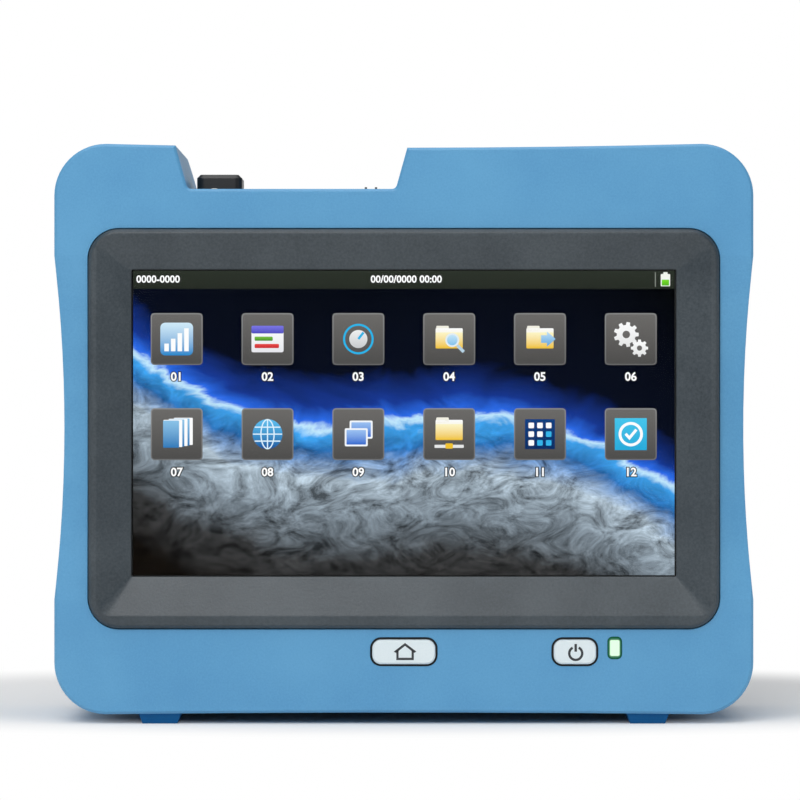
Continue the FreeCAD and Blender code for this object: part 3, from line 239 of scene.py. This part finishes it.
# Touch panel: hard coated glass with an anti-reflection layer, so that the room shows
# in it far less than in plain glass. The low IOR stands for that layer.
clear_glass, tree = blank_material("coated_touch_glass")
clear = add(tree, "ShaderNodeBsdfTransparent", [("Color", linear("#FDFEFE"))])
shine = add(tree, "ShaderNodeBsdfGlossy", [("Color", linear("#FFFFFF")), ("Roughness", 0.08)])
rim = add(tree, "ShaderNodeFresnel", [("IOR", 1.1)])
sheet = add(tree, "ShaderNodeMixShader", [(0, rim.outputs[0]), (1, clear.outputs[0]),
            (2, shine.outputs[0])])
add(tree, "ShaderNodeOutputMaterial", [("Surface", sheet.outputs[0])])
dress(clear_glass, "touch_glass")


# Display: a colour LCD cell that shines through the touch panel, on a thin sheet at the
# back of the glass. The start picture is a made-up ribbon of light over folded silk.
LAYER = 0.02      # mm, from one sheet of a drawing to the next
cell_low, cell_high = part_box("lcd_panel")
picture_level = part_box("touch_glass")[1].y - 0.05 * mm
picture_middle = (cell_low.z + cell_high.z) / 2
picture_half = (77.7 * mm, 43.7 * mm)     # half the opening of the bezel


def number(tree, kind, first, second=0.0):
    """The output of one Math node, for the sums of a pattern."""
    return add(tree, "ShaderNodeMath", [(0, first), (1, second)], operation=kind).outputs[0]


def start_drawing():
    """An empty mesh for flat shapes, and the layer that holds their colours."""
    sheet = bmesh.new()
    return sheet, sheet.loops.layers.float_color.new("lit_colour")


def draw(drawing, points, colour, layer, lower=None):
    """A flat shape in mm about the picture's middle; lower is its colour at its foot."""
    sheet, paint = drawing
    level = picture_level - layer * LAYER * mm
    face = sheet.faces.new([sheet.verts.new((x * mm, level, picture_middle + z * mm))
                            for x, z in points])
    face.normal_update()
    if face.normal.y > 0:
        face.normal_flip()
    foot, head = min(z for _, z in points), max(z for _, z in points)
    high, low = linear(colour), linear(lower or colour)
    for loop in face.loops:
        share = ((loop.vert.co.z - picture_middle) / mm - foot) / max(head - foot, 1e-6)
        loop[paint] = [b + (a - b) * share for a, b in zip(high, low)]


def block(x, z, wide, high, corner=0.0):
    """A rectangle about its middle, with rounded corners if asked."""
    if not corner:
        return [(x - wide / 2, z - high / 2), (x + wide / 2, z - high / 2),
                (x + wide / 2, z + high / 2), (x - wide / 2, z + high / 2)]
    points = []
    for quarter, (sx, sz) in enumerate(((1, 1), (-1, 1), (-1, -1), (1, -1))):
        for step in range(7):
            turn = math.pi / 2 * (quarter + step / 6)
            points.append((x + sx * (wide / 2 - corner) + corner * math.cos(turn),
                           z + sz * (high / 2 - corner) + corner * math.sin(turn)))
    return points


def finish_drawing(sheet, name, material, body="case"):
    """Turn flat shapes into a piece that rides on a body."""
    mesh = bpy.data.meshes.new(name)
    sheet.to_mesh(mesh)
    sheet.free()
    mesh.materials.append(material)
    piece = bpy.data.objects.new(name, mesh)
    bpy.context.scene.collection.objects.link(piece)
    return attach(piece, body)


# Lit silk picture: along and up run from -1 to 1 over it, and height is how far a point
# lies above the ribbon, a slow wave that falls to the right.
silk_picture, tree = blank_material("lit_lcd_start_picture")
place = add(tree, "ShaderNodeTexCoord")
put = add(tree, "ShaderNodeMapping", [("Vector", place.outputs["Object"]),
          ("Location", (0, 0, -picture_middle / picture_half[1])),
          ("Scale", (1 / picture_half[0], 1, 1 / picture_half[1]))], vector_type="POINT")
parts = add(tree, "ShaderNodeSeparateXYZ", [(0, put.outputs[0])])
along, up = parts.outputs["X"], parts.outputs["Z"]
swing = number(tree, "SINE", number(tree, "MULTIPLY", along, 2.6))
height = number(tree, "SUBTRACT", up, number(tree, "MULTIPLY", swing, 0.3))
height = number(tree, "ADD", height, number(tree, "MULTIPLY", along, 0.62))
folds = add(tree, "ShaderNodeTexNoise", [("Vector", put.outputs[0]), ("Scale", 2.6),
            ("Detail", 6.0), ("Roughness", 0.62), ("Distortion", 1.4)])
bent = number(tree, "ADD", height, number(tree, "MULTIPLY",
              number(tree, "SUBTRACT", folds.outputs["Fac"], 0.5), 0.3))
tones = add(tree, "ShaderNodeValToRGB", [(0, number(tree, "ADD", number(tree, "MULTIPLY",
            bent, 0.4), 0.5))])
stops = ((0.0, "#120E0A"), (0.14, "#3A3B3C"), (0.25, "#79858F"), (0.36, "#A9B9C6"),
         (0.44, "#2C6FB4"), (0.485, "#3FA0E8"), (0.505, "#C8ECFF"), (0.52, "#2C6CE8"),
         (0.56, "#15368F"), (0.64, "#050A1A"), (1.0, "#010204"))
ramp = tones.color_ramp
while len(ramp.elements) < len(stops):
    ramp.elements.new(0.5)
for element, (spot, code) in zip(ramp.elements, stops):
    element.position, element.color = spot, linear(code)
threads = add(tree, "ShaderNodeTexNoise", [("Vector", put.outputs[0]), ("Scale", 5.0),
              ("Detail", 8.0), ("Roughness", 0.7), ("Distortion", 2.2)])
sheen = add(tree, "ShaderNodeMapRange", [("Value", threads.outputs["Fac"]), ("From Min", 0.35),
            ("From Max", 0.68), ("To Min", 0.22), ("To Max", 1.7)])
lower = add(tree, "ShaderNodeMapRange", [("Value", height), ("From Min", 0.02),
            ("From Max", -0.25), ("To Min", 0.0), ("To Max", 1.0)])
gain = add(tree, "ShaderNodeMix", [("Factor", lower.outputs["Result"]), (2, 1.0),
           (3, sheen.outputs["Result"])])
shown = add(tree, "ShaderNodeVectorMath", [(0, tones.outputs["Color"]),
            ("Scale", gain.outputs[0])], operation="SCALE")
cell = add(tree, "ShaderNodeBsdfPrincipled", [("Base Color", linear("#000000")),
           ("Roughness", 0.35), ("Specular IOR Level", 0.0),
           ("Emission Color", shown.outputs[0]), ("Emission Strength", 1.0)])
add(tree, "ShaderNodeOutputMaterial", [("Surface", cell.outputs[0])])
dress(moulded("black_lcd_cell_glass", "#0B0C0E", "#090A0C", 0.3, 0.5, 0.001), "lcd_panel")

picture = start_drawing()
draw(picture, block(0, 0, 2 * picture_half[0] / mm, 2 * picture_half[1] / mm), "#000000", 0)
finish_drawing(picture[0], "start_picture", silk_picture)


# Menu tiles: grey keys drawn on the screen, each with a plain picture sign and a number.
# The cell lights them too, so each shape is a thin flat sheet that glows in its own colour.
TILE_SIZE, TILE_ROUND, TILE_BORDER = 14.9, 1.1, 0.35
tile_columns = [-65.2 + 26.07 * column for column in range(6)]
tile_rows = [24.1, -3.2]

lit_menu, tree = blank_material("lit_lcd_menu")
paint = add(tree, "ShaderNodeAttribute", attribute_name="lit_colour")
lit = add(tree, "ShaderNodeBsdfPrincipled", [("Base Color", linear("#000000")),
          ("Roughness", 0.35), ("Specular IOR Level", 0.0),
          ("Emission Color", paint.outputs["Color"]), ("Emission Strength", 1.0)])
add(tree, "ShaderNodeOutputMaterial", [("Surface", lit.outputs[0])])


def array_tree():
    """Geometry Nodes that set copies of a shape out in rows and columns, facing front."""
    tree = bpy.data.node_groups.new("rows_and_columns", "GeometryNodeTree")
    for name, kind in (("Geometry", "NodeSocketGeometry"), ("Spread", "NodeSocketFloat"),
                       ("Rise", "NodeSocketFloat"), ("Columns", "NodeSocketInt"),
                       ("Rows", "NodeSocketInt"), ("Middle", "NodeSocketVector"),
                       ("Finish", "NodeSocketMaterial")):
        tree.interface.new_socket(name, in_out="INPUT", socket_type=kind)
    tree.interface.new_socket("Geometry", in_out="OUTPUT", socket_type="NodeSocketGeometry")
    given = tree.nodes.new("NodeGroupInput").outputs
    grid = add(tree, "GeometryNodeMeshGrid", [("Size X", given["Spread"]),
               ("Size Y", given["Rise"]), ("Vertices X", given["Columns"]),
               ("Vertices Y", given["Rows"])])
    upright = add(tree, "GeometryNodeTransform", [("Geometry", grid.outputs["Mesh"]),
                  ("Translation", given["Middle"]), ("Rotation", (math.pi / 2, 0, 0))])
    copies = add(tree, "GeometryNodeInstanceOnPoints", [("Points", upright.outputs[0]),
                 ("Instance", given["Geometry"])])
    whole = add(tree, "GeometryNodeRealizeInstances", [("Geometry", copies.outputs[0])])
    coat = add(tree, "GeometryNodeSetMaterial", [("Geometry", whole.outputs[0]),
               ("Material", given["Finish"])])
    add(tree, "NodeGroupOutput", [(0, coat.outputs[0])])
    return tree


rows_and_columns = array_tree()


def repeated(name, shape, slot, material, body, **sizes):
    """Turn a shape made about the origin into rows and columns of it, as one plain mesh."""
    source = bpy.data.meshes.new(name + "_one")
    shape.to_mesh(source)
    shape.free()
    holder = bpy.data.objects.new(name + "_one", source)
    bpy.context.scene.collection.objects.link(holder)
    array = holder.modifiers.new("array", "NODES")
    array.node_group = rows_and_columns
    for item in rows_and_columns.interface.items_tree:
        if item.in_out == "INPUT" and item.name in sizes:
            array[item.identifier] = sizes[item.name]
        elif item.name == "Finish":
            array[item.identifier] = material
    bpy.context.view_layer.update()
    mesh = bpy.data.meshes.new_from_object(
        holder.evaluated_get(bpy.context.evaluated_depsgraph_get()))
    bpy.data.objects.remove(holder)
    mesh.name = name
    piece = bpy.data.objects.new(name, mesh)
    bpy.context.scene.collection.objects.link(piece)
    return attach(piece, body)


def arc(x, z, radius, start=0.0, end=360.0):
    """Points in mm along a circle; a full turn leaves out the last, which is the first."""
    steps = 36
    turns = [math.radians(start + (end - start) * step / steps) for step in range(steps + 1)]
    points = [(x + radius * math.cos(t), z + radius * math.sin(t)) for t in turns]
    return points[:-1] if end - start == 360 else points


def band(drawing, line, width, colour, layer, closed=False):
    """A line of even width along the points, drawn as one strip with mitred corners."""
    edges = []
    count = len(line)
    for place, (x, z) in enumerate(line):
        before = line[place - 1] if place or closed else line[place]
        after = line[(place + 1) % count] if place + 1 < count or closed else line[place]
        ax, az = x - before[0], z - before[1]
        bx, bz = after[0] - x, after[1] - z
        a, b = math.hypot(ax, az) or 1, math.hypot(bx, bz) or 1
        tx, tz = ax / a + bx / b, az / a + bz / b
        long = math.hypot(tx, tz) or 1
        nx, nz = -tz / long, tx / long
        lean = max(0.5, abs(nz * ax - nx * az) / a) if ax or az else 1
        reach = width / 2 / lean
        edges.append(((x + nx * reach, z + nz * reach), (x - nx * reach, z - nz * reach)))
    pairs = zip(edges, edges[1:] + edges[:1]) if closed else zip(edges, edges[1:])
    for (a, b), (c, d) in pairs:
        draw(drawing, [a, b, d, c], colour, layer)


def gear(x, z, radius, teeth):
    """The outline of a gear; part is how far round from a tooth's middle a corner lies."""
    points = []
    for tooth in range(teeth):
        for part, reach in ((-0.32, 0.76), (-0.2, 1.0), (0.2, 1.0), (0.32, 0.76)):
            turn = 2 * math.pi * (tooth + part) / teeth
            points.append((x + radius * reach * math.cos(turn),
                           z + radius * reach * math.sin(turn)))
    return points


tile = start_drawing()
draw(tile, block(0, 0, TILE_SIZE, TILE_SIZE, TILE_ROUND), "#8C8C8C", 1, "#6E6E6E")
draw(tile, block(0, 0, TILE_SIZE - 2 * TILE_BORDER, TILE_SIZE - 2 * TILE_BORDER,
                 TILE_ROUND - 0.3), "#6C6A68", 2, "#4E4D4C")
repeated("menu_tiles", tile[0], "display_cell", lit_menu, "case",
         Spread=(tile_columns[-1] - tile_columns[0]) * mm, Columns=6,
         Rise=(tile_rows[0] - tile_rows[1]) * mm, Rows=2,
         Middle=((tile_columns[0] + tile_columns[-1]) / 2 * mm, 0,
                 (tile_rows[0] + tile_rows[1]) / 2 * mm))

signs = start_drawing()
upper, lower = tile_rows


def folder(x, z):
    draw(signs, block(x - 1.9, z + 3.0, 3.6, 1.6, 0.3), "#F4F1E4", 3)
    draw(signs, block(x, z + 0.2, 7.8, 5.8, 0.3), "#FFFFFF", 3, "#F1DD8E")
    draw(signs, block(x, z - 0.4, 7.8, 4.6, 0.3), "#FFF7C8", 4, "#F2C230")


# a level meter, a card with two bars, a dial
x = tile_columns[0]
draw(signs, block(x, upper, 9.4, 9.4, 1.4), "#D3EDFB", 3, "#1C86CC")
for place, tall in ((-2.9, 2.2), (-1.0, 3.6), (0.9, 5.2), (2.8, 6.6)):
    draw(signs, block(x + place, upper - 3.5 + tall / 2, 1.3, tall), "#FFFFFF", 4)
x = tile_columns[1]
draw(signs, block(x, upper, 9.2, 7.6, 0.5), "#FFFFFF", 3, "#E9E9EE")
draw(signs, block(x, upper + 2.7, 9.2, 2.2, 0.4), "#7C78E6", 4, "#4F4CC0")
draw(signs, block(x - 1.1, upper + 0.1, 5.2, 1.2, 0.3), "#7CC043", 4, "#3F8E22")
draw(signs, block(x - 0.2, upper - 2.0, 7.0, 1.2, 0.3), "#EE4B48", 4, "#C6262E")
x = tile_columns[2]
band(signs, arc(x, upper, 4.1), 0.6, "#29B2E8", 3, closed=True)
draw(signs, arc(x, upper, 2.6), "#F2F2F2", 3, "#C9CBCD")
band(signs, [(x, upper), (x + 1.5, upper + 1.9)], 0.7, "#29B2E8", 4)

# folders: one with a lens, one with an arrow, one on a cable
x = tile_columns[3]
folder(x, upper)
draw(signs, arc(x + 0.9, upper - 0.3, 2.0), "#E4EEF4", 5)
draw(signs, arc(x + 0.9, upper - 0.3, 1.5), "#C4E6FA", 6, "#7FC0EA")
band(signs, [(x + 2.3, upper - 1.8), (x + 4.2, upper - 3.7)], 0.9, "#B9D4E6", 5)
x = tile_columns[4]
folder(x, upper)
draw(signs, [(x + 0.3, upper - 1.1), (x + 2.0, upper - 1.1), (x + 2.0, upper - 2.2),
             (x + 4.5, upper), (x + 2.0, upper + 2.2), (x + 2.0, upper + 1.1),
             (x + 0.3, upper + 1.1)], "#BFE3FA", 5, "#4E9FDC")
x = tile_columns[3]
folder(x, lower + 1.0)
draw(signs, block(x, lower - 3.5, 8.4, 0.9, 0.2), "#E8E8E8", 4)
draw(signs, block(x, lower - 3.4, 2.2, 1.5, 0.3), "#F2C230", 5)

# two gears
x = tile_columns[5]
for gx, gz, radius, teeth in ((x - 1.3, upper + 1.3, 3.6, 9), (x + 2.5, upper - 2.6, 2.5, 8)):
    draw(signs, gear(gx, gz, radius, teeth), "#FFFFFF", 3, "#E6E6E6")
    draw(signs, arc(gx, gz, 0.3 * radius), "#6A6866", 4)

# a shelf of files, a gridded globe, two panes
x = tile_columns[0]
for step in (2, 1, 0):
    shift, layer = 1.5 * step, 7 - 2 * step
    draw(signs, block(x - 1.1 + shift, lower + 0.2 + 0.3 * step, 5.4, 7.8, 0.2), "#FFFFFF",
         layer)
    draw(signs, block(x - 1.6 + shift, lower + 0.3 * step, 4.6, 7.8, 0.2), "#8CC4EA",
         layer + 1, "#2E78B8")
x = tile_columns[1]
draw(signs, arc(x, lower, 4.3), "#5DC0F2", 3, "#0F4E9C")
band(signs, [(x, lower - 4.2), (x, lower + 4.2)], 0.35, "#DDF3FF", 4)
band(signs, [(x + 0.45 * (across - x), z) for across, z in arc(x, lower, 4.2)], 0.35,
     "#DDF3FF", 4, closed=True)
for rise in (-2.0, 0.0, 2.0):
    half = math.sqrt(4.2 ** 2 - rise ** 2)
    band(signs, [(x - half, lower + rise), (x + half, lower + rise)], 0.35, "#DDF3FF", 4)
x = tile_columns[2]
for dx, dz, layer in ((0.8, 1.3, 3), (-0.6, -0.9, 6)):
    draw(signs, block(x + dx, lower + dz, 6.6, 5.2, 0.4), "#F4F7FB", layer)
    draw(signs, block(x + dx, lower + dz, 5.6, 4.2, 0.2), "#9CC2F4", layer + 1, "#2E68D0")

# a board of nine squares, a tick in a ring
x = tile_columns[4]
draw(signs, block(x, lower, 8.6, 8.6), "#123F7E", 3, "#0B2E62")
for column in (-1, 0, 1):
    for row in (-1, 0, 1):
        draw(signs, block(x + 2.5 * column, lower + 2.5 * row, 1.6, 1.6, 0.3),
             "#FFFFFF" if column <= row else "#35B4EA", 4)
x = tile_columns[5]
draw(signs, block(x, lower, 9.2, 9.2), "#46C6EE", 3, "#27A9DA")
band(signs, arc(x, lower, 3.1), 0.8, "#FFFFFF", 4, closed=True)
band(signs, [(x - 1.5, lower + 0.1), (x - 0.4, lower - 1.1), (x + 1.6, lower + 1.3)], 0.8,
     "#FFFFFF", 4)
finish_drawing(signs[0], "menu_signs", lit_menu)

# the status strip along the head of the picture, with a rule and a charge sign
strip = start_drawing()
draw(strip, block(0, 41.1, 155.4, 5.2), "#2C322A", 1, "#262B24")
draw(strip, block(72.2, 41.2, 0.25, 4.2), "#8D928A", 2)
draw(strip, block(75.1, 41.0, 2.7, 3.5, 0.2), "#F4F8F0", 2)
draw(strip, block(75.1, 43.0, 1.2, 0.6), "#F4F8F0", 2)
draw(strip, block(75.1, 40.3, 2.1, 1.7), "#7BE02C", 3, "#52B81A")
finish_drawing(strip[0], "status_strip", lit_menu)

TILE_TEXT, STRIP_TEXT = 3.4, 2.9     # mm, the height of a line of text
STRIP_LEVEL = 41.2
label_rows = [13.2, -14.2]
letters = bmesh.new()


def label(text, x, z, size, align="CENTER"):
    """Add white numerals with a dark rim to the letters, turned from text into flat mesh."""
    for part, colour, fat, layer in (("rim", "#0A0A0C", 0.10, 7), ("face", "#FFFFFF", 0.028, 8)):
        curve = bpy.data.curves.new("label_" + part, "FONT")
        curve.body, curve.size, curve.align_x, curve.align_y = text, size, align, "CENTER"
        curve.offset, curve.resolution_u = fat * size, 3
        words = bpy.data.objects.new(curve.name, curve)
        bpy.context.scene.collection.objects.link(words)
        bpy.context.view_layer.update()
        mesh = bpy.data.meshes.new_from_object(words.evaluated_get(
            bpy.context.evaluated_depsgraph_get()))
        bpy.data.objects.remove(words)
        for vertex in mesh.vertices:
            across, rise, _ = vertex.co
            vertex.co = ((x + across) * mm, picture_level - layer * LAYER * mm,
                         picture_middle + (z + rise) * mm)
        paint = mesh.color_attributes.new("lit_colour", "FLOAT_COLOR", "CORNER")
        for place in paint.data:
            place.color = linear(colour)
        letters.from_mesh(mesh)


for row, level in enumerate(label_rows):
    for column, x in enumerate(tile_columns):
        label(f"{row * 6 + column + 1:02d}", x, level, TILE_TEXT)
label("0000-0000", -76.8, STRIP_LEVEL, STRIP_TEXT, "LEFT")
label("00/00/0000 00:00", 0.7, STRIP_LEVEL, STRIP_TEXT)
finish_drawing(letters, "menu_numbers", lit_menu)


# Push buttons: white ABS caps, smoother than the case, with a printed sign in grey ink
# that stays a little duller than the cap. The signs ride with their buttons.
INK = 0.02        # mm, how far the print stands proud
white_abs = moulded("white_moulded_abs", "#E7F2F5", "#E1EDF1", 0.32, 0.35, 0.004)
dress(white_abs, "home_button", "power_button")
print_ink = moulded("grey_printed_ink", "#2E3338", "#2A2F34", 0.4, 0.3, 0.002)


def printed(name, outlines, body):
    """Closed outlines, in mm from the middle of a button, printed on its face."""
    low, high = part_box(body)
    middle_x, middle_z = (low.x + high.x) / 2, (low.z + high.z) / 2
    shapes = bmesh.new()
    for points in outlines:
        face = shapes.faces.new([shapes.verts.new(
            (middle_x + x * mm, low.y - INK * mm, middle_z + z * mm)) for x, z in points])
        face.normal_update()
        if face.normal.y > 0:
            face.normal_flip()
    return finish_drawing(shapes, name, print_ink, body)


roof = [(-2.9, 0.1), (0.35, 2.6), (3.6, 0.1), (2.9, -0.25), (0.35, 1.75), (-2.2, -0.25)]
left_wall = [(-2.15, 0.2), (-1.5, 0.7), (-1.5, -2.3), (-2.15, -2.3)]
right_wall = [(2.2, 0.7), (2.85, 0.2), (2.85, -2.3), (2.2, -2.3)]
floor = [(-1.5, -2.3), (2.2, -2.3), (2.2, -1.65), (-1.5, -1.65)]
printed("home_button_sign", [roof, left_wall, right_wall, floor], "home_button")
outer, inner = arc(0.2, -0.4, 2.2, 118, 422), arc(0.2, -0.4, 1.5, 118, 422)
open_ring = [[a, b, d, c] for a, b, c, d in zip(outer, outer[1:], inner, inner[1:])]
printed("power_button_sign", open_ring + [block(0.2, 1.2, 0.7, 2.2)], "power_button")


# Status light: a green acrylic rod. Its core is lit from the board behind it and the light
# fades to a dark green wall, which shows how thick the clear plastic is.
CORE_FROM_SIDE, CORE_FROM_END = 1.15, 1.4   # mm, from the rod's faces to the core's spine
CORE_SOLID, CORE_FADED = 0.3, 0.75          # mm, from that spine
light_rod, tree = blank_material("green_moulded_acrylic")
low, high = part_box("status_light")
place = add(tree, "ShaderNodeTexCoord")
from_middle = add(tree, "ShaderNodeVectorMath", [(0, place.outputs["Object"]),
                  (1, (low + high) / 2)], operation="SUBTRACT")
sides = add(tree, "ShaderNodeSeparateXYZ", [(0, from_middle.outputs[0])])
half = (high - low) / 2
rims = [number(tree, "SUBTRACT", number(tree, "ABSOLUTE", sides.outputs[axis]), reach)
        for axis, reach in (("X", half.x - CORE_FROM_SIDE * mm),
                            ("Z", half.z - CORE_FROM_END * mm))]
over = [number(tree, "MAXIMUM", rim, 0.0) for rim in rims]
corner = number(tree, "SQRT", number(tree, "ADD", number(tree, "POWER", over[0], 2.0),
                number(tree, "POWER", over[1], 2.0)))
core = add(tree, "ShaderNodeMapRange", [("Value", corner), ("From Min", CORE_SOLID * mm),
           ("From Max", CORE_FADED * mm), ("To Min", 1.0), ("To Max", 0.0)],
           interpolation_type="SMOOTHSTEP")
glow = add(tree, "ShaderNodeMix", [("Factor", core.outputs["Result"]),
           (6, linear("#0E5A33")), (7, linear("#E6FFE4"))], data_type="RGBA")
power = add(tree, "ShaderNodeMapRange", [("Value", core.outputs["Result"]), ("To Min", 0.12),
            ("To Max", 0.95)])
rod = add(tree, "ShaderNodeBsdfPrincipled", [("Base Color", linear("#1F6B45")),
          ("Roughness", 0.2), ("Emission Color", glow.outputs[2]),
          ("Emission Strength", power.outputs["Result"])])
add(tree, "ShaderNodeOutputMaterial", [("Surface", rod.outputs[0])])
dress(light_rod, "status_light")


# Metal parts inside the case and at the ports. Zinc plating is a cool even grey and nickel
# on brass warmer and brighter. Stamped sheet and machined aluminium have faint lines, from
# the rollers and from the cutter.
def metal(name, colour, roughness, stretch, scratch):
    """Bare metal: streaks of the given size in mm, drawn out along one axis."""
    material, tree = blank_material(name)
    place = add(tree, "ShaderNodeTexCoord")
    turn = add(tree, "ShaderNodeMapping", [("Vector", place.outputs["Object"]),
               ("Scale", stretch)])
    streak = add(tree, "ShaderNodeTexNoise", [("Vector", turn.outputs[0]),
                 ("Scale", 1 / (scratch * mm)), ("Detail", 3.0), ("Roughness", 0.6)])
    rough = add(tree, "ShaderNodeMapRange", [("Value", streak.outputs["Fac"]),
                ("From Min", 0.3), ("From Max", 0.7), ("To Min", roughness - 0.07),
                ("To Max", roughness + 0.09)])
    dent = add(tree, "ShaderNodeBump", [("Height", streak.outputs["Fac"]), ("Strength", 1.0),
               ("Distance", 0.003 * mm)])
    skin = add(tree, "ShaderNodeBsdfPrincipled", [("Base Color", linear(colour)),
               ("Metallic", 1.0), ("Roughness", rough.outputs["Result"]),
               ("Normal", dent.outputs[0])])
    add(tree, "ShaderNodeOutputMaterial", [("Surface", skin.outputs[0])])
    return material


screw_zinc = metal("zinc_plated_screw_steel", "#B9BDBF", 0.32, (1, 1, 1), 0.5)
dress(screw_zinc, "lcd_screws", "board_screws", "stand_pins", "port_cover_pin",
      "otdr_cap_pin", "fault_locator_cap_pin", "power_meter_cap_pin")
dress(metal("nickel_plated_brass", "#CBC6BA", 0.25, (1, 1, 1), 0.6), "board_standoffs",
      "fault_locator_port", "power_meter_port", "clock_battery")
dress(metal("stamped_sheet_steel", "#AEB4B8", 0.34, (1, 1, 12), 1.2), "lcd_frame",
      "processor_shield", "radio_module", "network_socket", "usb_socket", "data_socket")
dress(metal("machined_aluminium", "#C5C9CC", 0.3, (12, 1, 1), 0.8), "optics_module",
      "optics_lid")


# Screws that can be reached from the back: pan heads with a hexagonal socket and a rolled
# thread. The socket is a real recess, so it goes dark and catches light on its rim.
SCREW_SIDES = 36


def ring(shape, radius, level, corners=0):
    """A ring of points about Y; with corners, the points run along a polygon's sides."""
    points = []
    for step in range(SCREW_SIDES):
        turn = 2 * math.pi * step / SCREW_SIDES
        reach = radius
        if corners:
            part = math.pi / corners
            reach = radius * math.cos(part) / math.cos((turn % (2 * part)) - part)
        points.append(shape.verts.new((reach * math.cos(turn), level, reach * math.sin(turn))))
    return points


def join_rings(shape, rings):
    """Join rings in a row with faces, and close the first and last one."""
    for first, second in zip(rings, rings[1:]):
        for step in range(len(first)):
            after = (step + 1) % len(first)
            shape.faces.new((first[step], first[after], second[after], second[step]))
    shape.faces.new(rings[0][::-1])
    shape.faces.new(rings[-1])
    bmesh.ops.recalc_face_normals(shape, faces=shape.faces)


def threaded_screws(node, body, head, head_high, shank, pitch):
    """Four screws in place of a node's plain ones, with sizes in mm. Heads face the back."""
    low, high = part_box(node)
    back, tip = high.y, low.y
    seat = back - head_high * mm
    shape = bmesh.new()
    # the socket's floor, wall and mouth, then the head's crown, rim and seat, as shares
    # of its width and height
    rings = [ring(shape, 0.25 * head * mm, back - 0.62 * head_high * mm, corners=6),
             ring(shape, 0.25 * head * mm, back - 0.08 * head_high * mm, corners=6),
             ring(shape, 0.28 * head * mm, back, corners=6),
             ring(shape, 0.38 * head * mm, back),
             ring(shape, 0.46 * head * mm, back - 0.10 * head_high * mm),
             ring(shape, 0.50 * head * mm, back - 0.34 * head_high * mm),
             ring(shape, 0.50 * head * mm, seat)]
    turns = int((seat - tip) / (pitch * mm)) - 1
    for turn in range(turns):
        rings += [ring(shape, share * shank / 2 * mm, seat - (turn + at) * pitch * mm)
                  for share, at in ((0.84, 0.0), (0.84, 0.3), (1.0, 0.65))]
    rings.append(ring(shape, 0.6 * shank / 2 * mm, tip))
    join_rings(shape, rings)
    for face in shape.faces:
        face.smooth = len(face.verts) == 4
    piece = repeated(node.replace("screws", "screw_set"), shape, "screw_steel", screw_zinc, body,
                     Spread=high.x - low.x - head * mm, Columns=2,
                     Rise=high.z - low.z - head * mm, Rows=2,
                     Middle=((low.x + high.x) / 2, 0, (low.z + high.z) / 2))
    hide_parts(node)


threaded_screws("housing_screws", "case", head=5.6, head_high=2.4, shank=3.0, pitch=0.6)
threaded_screws("battery_door_screws", "battery_door", head=4.4, head_high=1.5, shank=2.4,
                pitch=0.45)


# Boards in glossy green solder mask, the milky light guide of the display, the smooth
# yellow jacket of the fibre on its satin spool, and the green adapter of the OTDR port
# with its ground ceramic ferrule, the glossiest piece of all.
board_green = moulded("green_solder_mask", "#175C3A", "#124F31", 0.3, 0.8, 0.004)
dress(board_green, "main_board", "socket_board", "button_board")
white_acrylic = moulded("white_moulded_acrylic", "#F1F3F3", "#ECEFEF", 0.45, 0.5, 0.002)
dress(white_acrylic, "backlight")
yellow_pvc = moulded("yellow_extruded_pvc", "#F0C52E", "#E8BB22", 0.4, 0.3, 0.003)
dress(yellow_pvc, "fibre_coil")
white_polycarbonate = moulded("white_moulded_polycarbonate", "#E6E8E6", "#DFE2E0", 0.4, 0.4,
                              0.004)
dress(white_polycarbonate, "fibre_spool")
green_pbt = moulded("green_moulded_pbt", "#2E9E58", "#26914E", 0.32, 0.35, 0.004)
dress(green_pbt, "otdr_port")
zirconia = moulded("white_ground_zirconia", "#F3F4F0", "#EEF0EC", 0.15, 0.3, 0.001, IOR=2.15)
dress(zirconia, "otdr_ferrule")
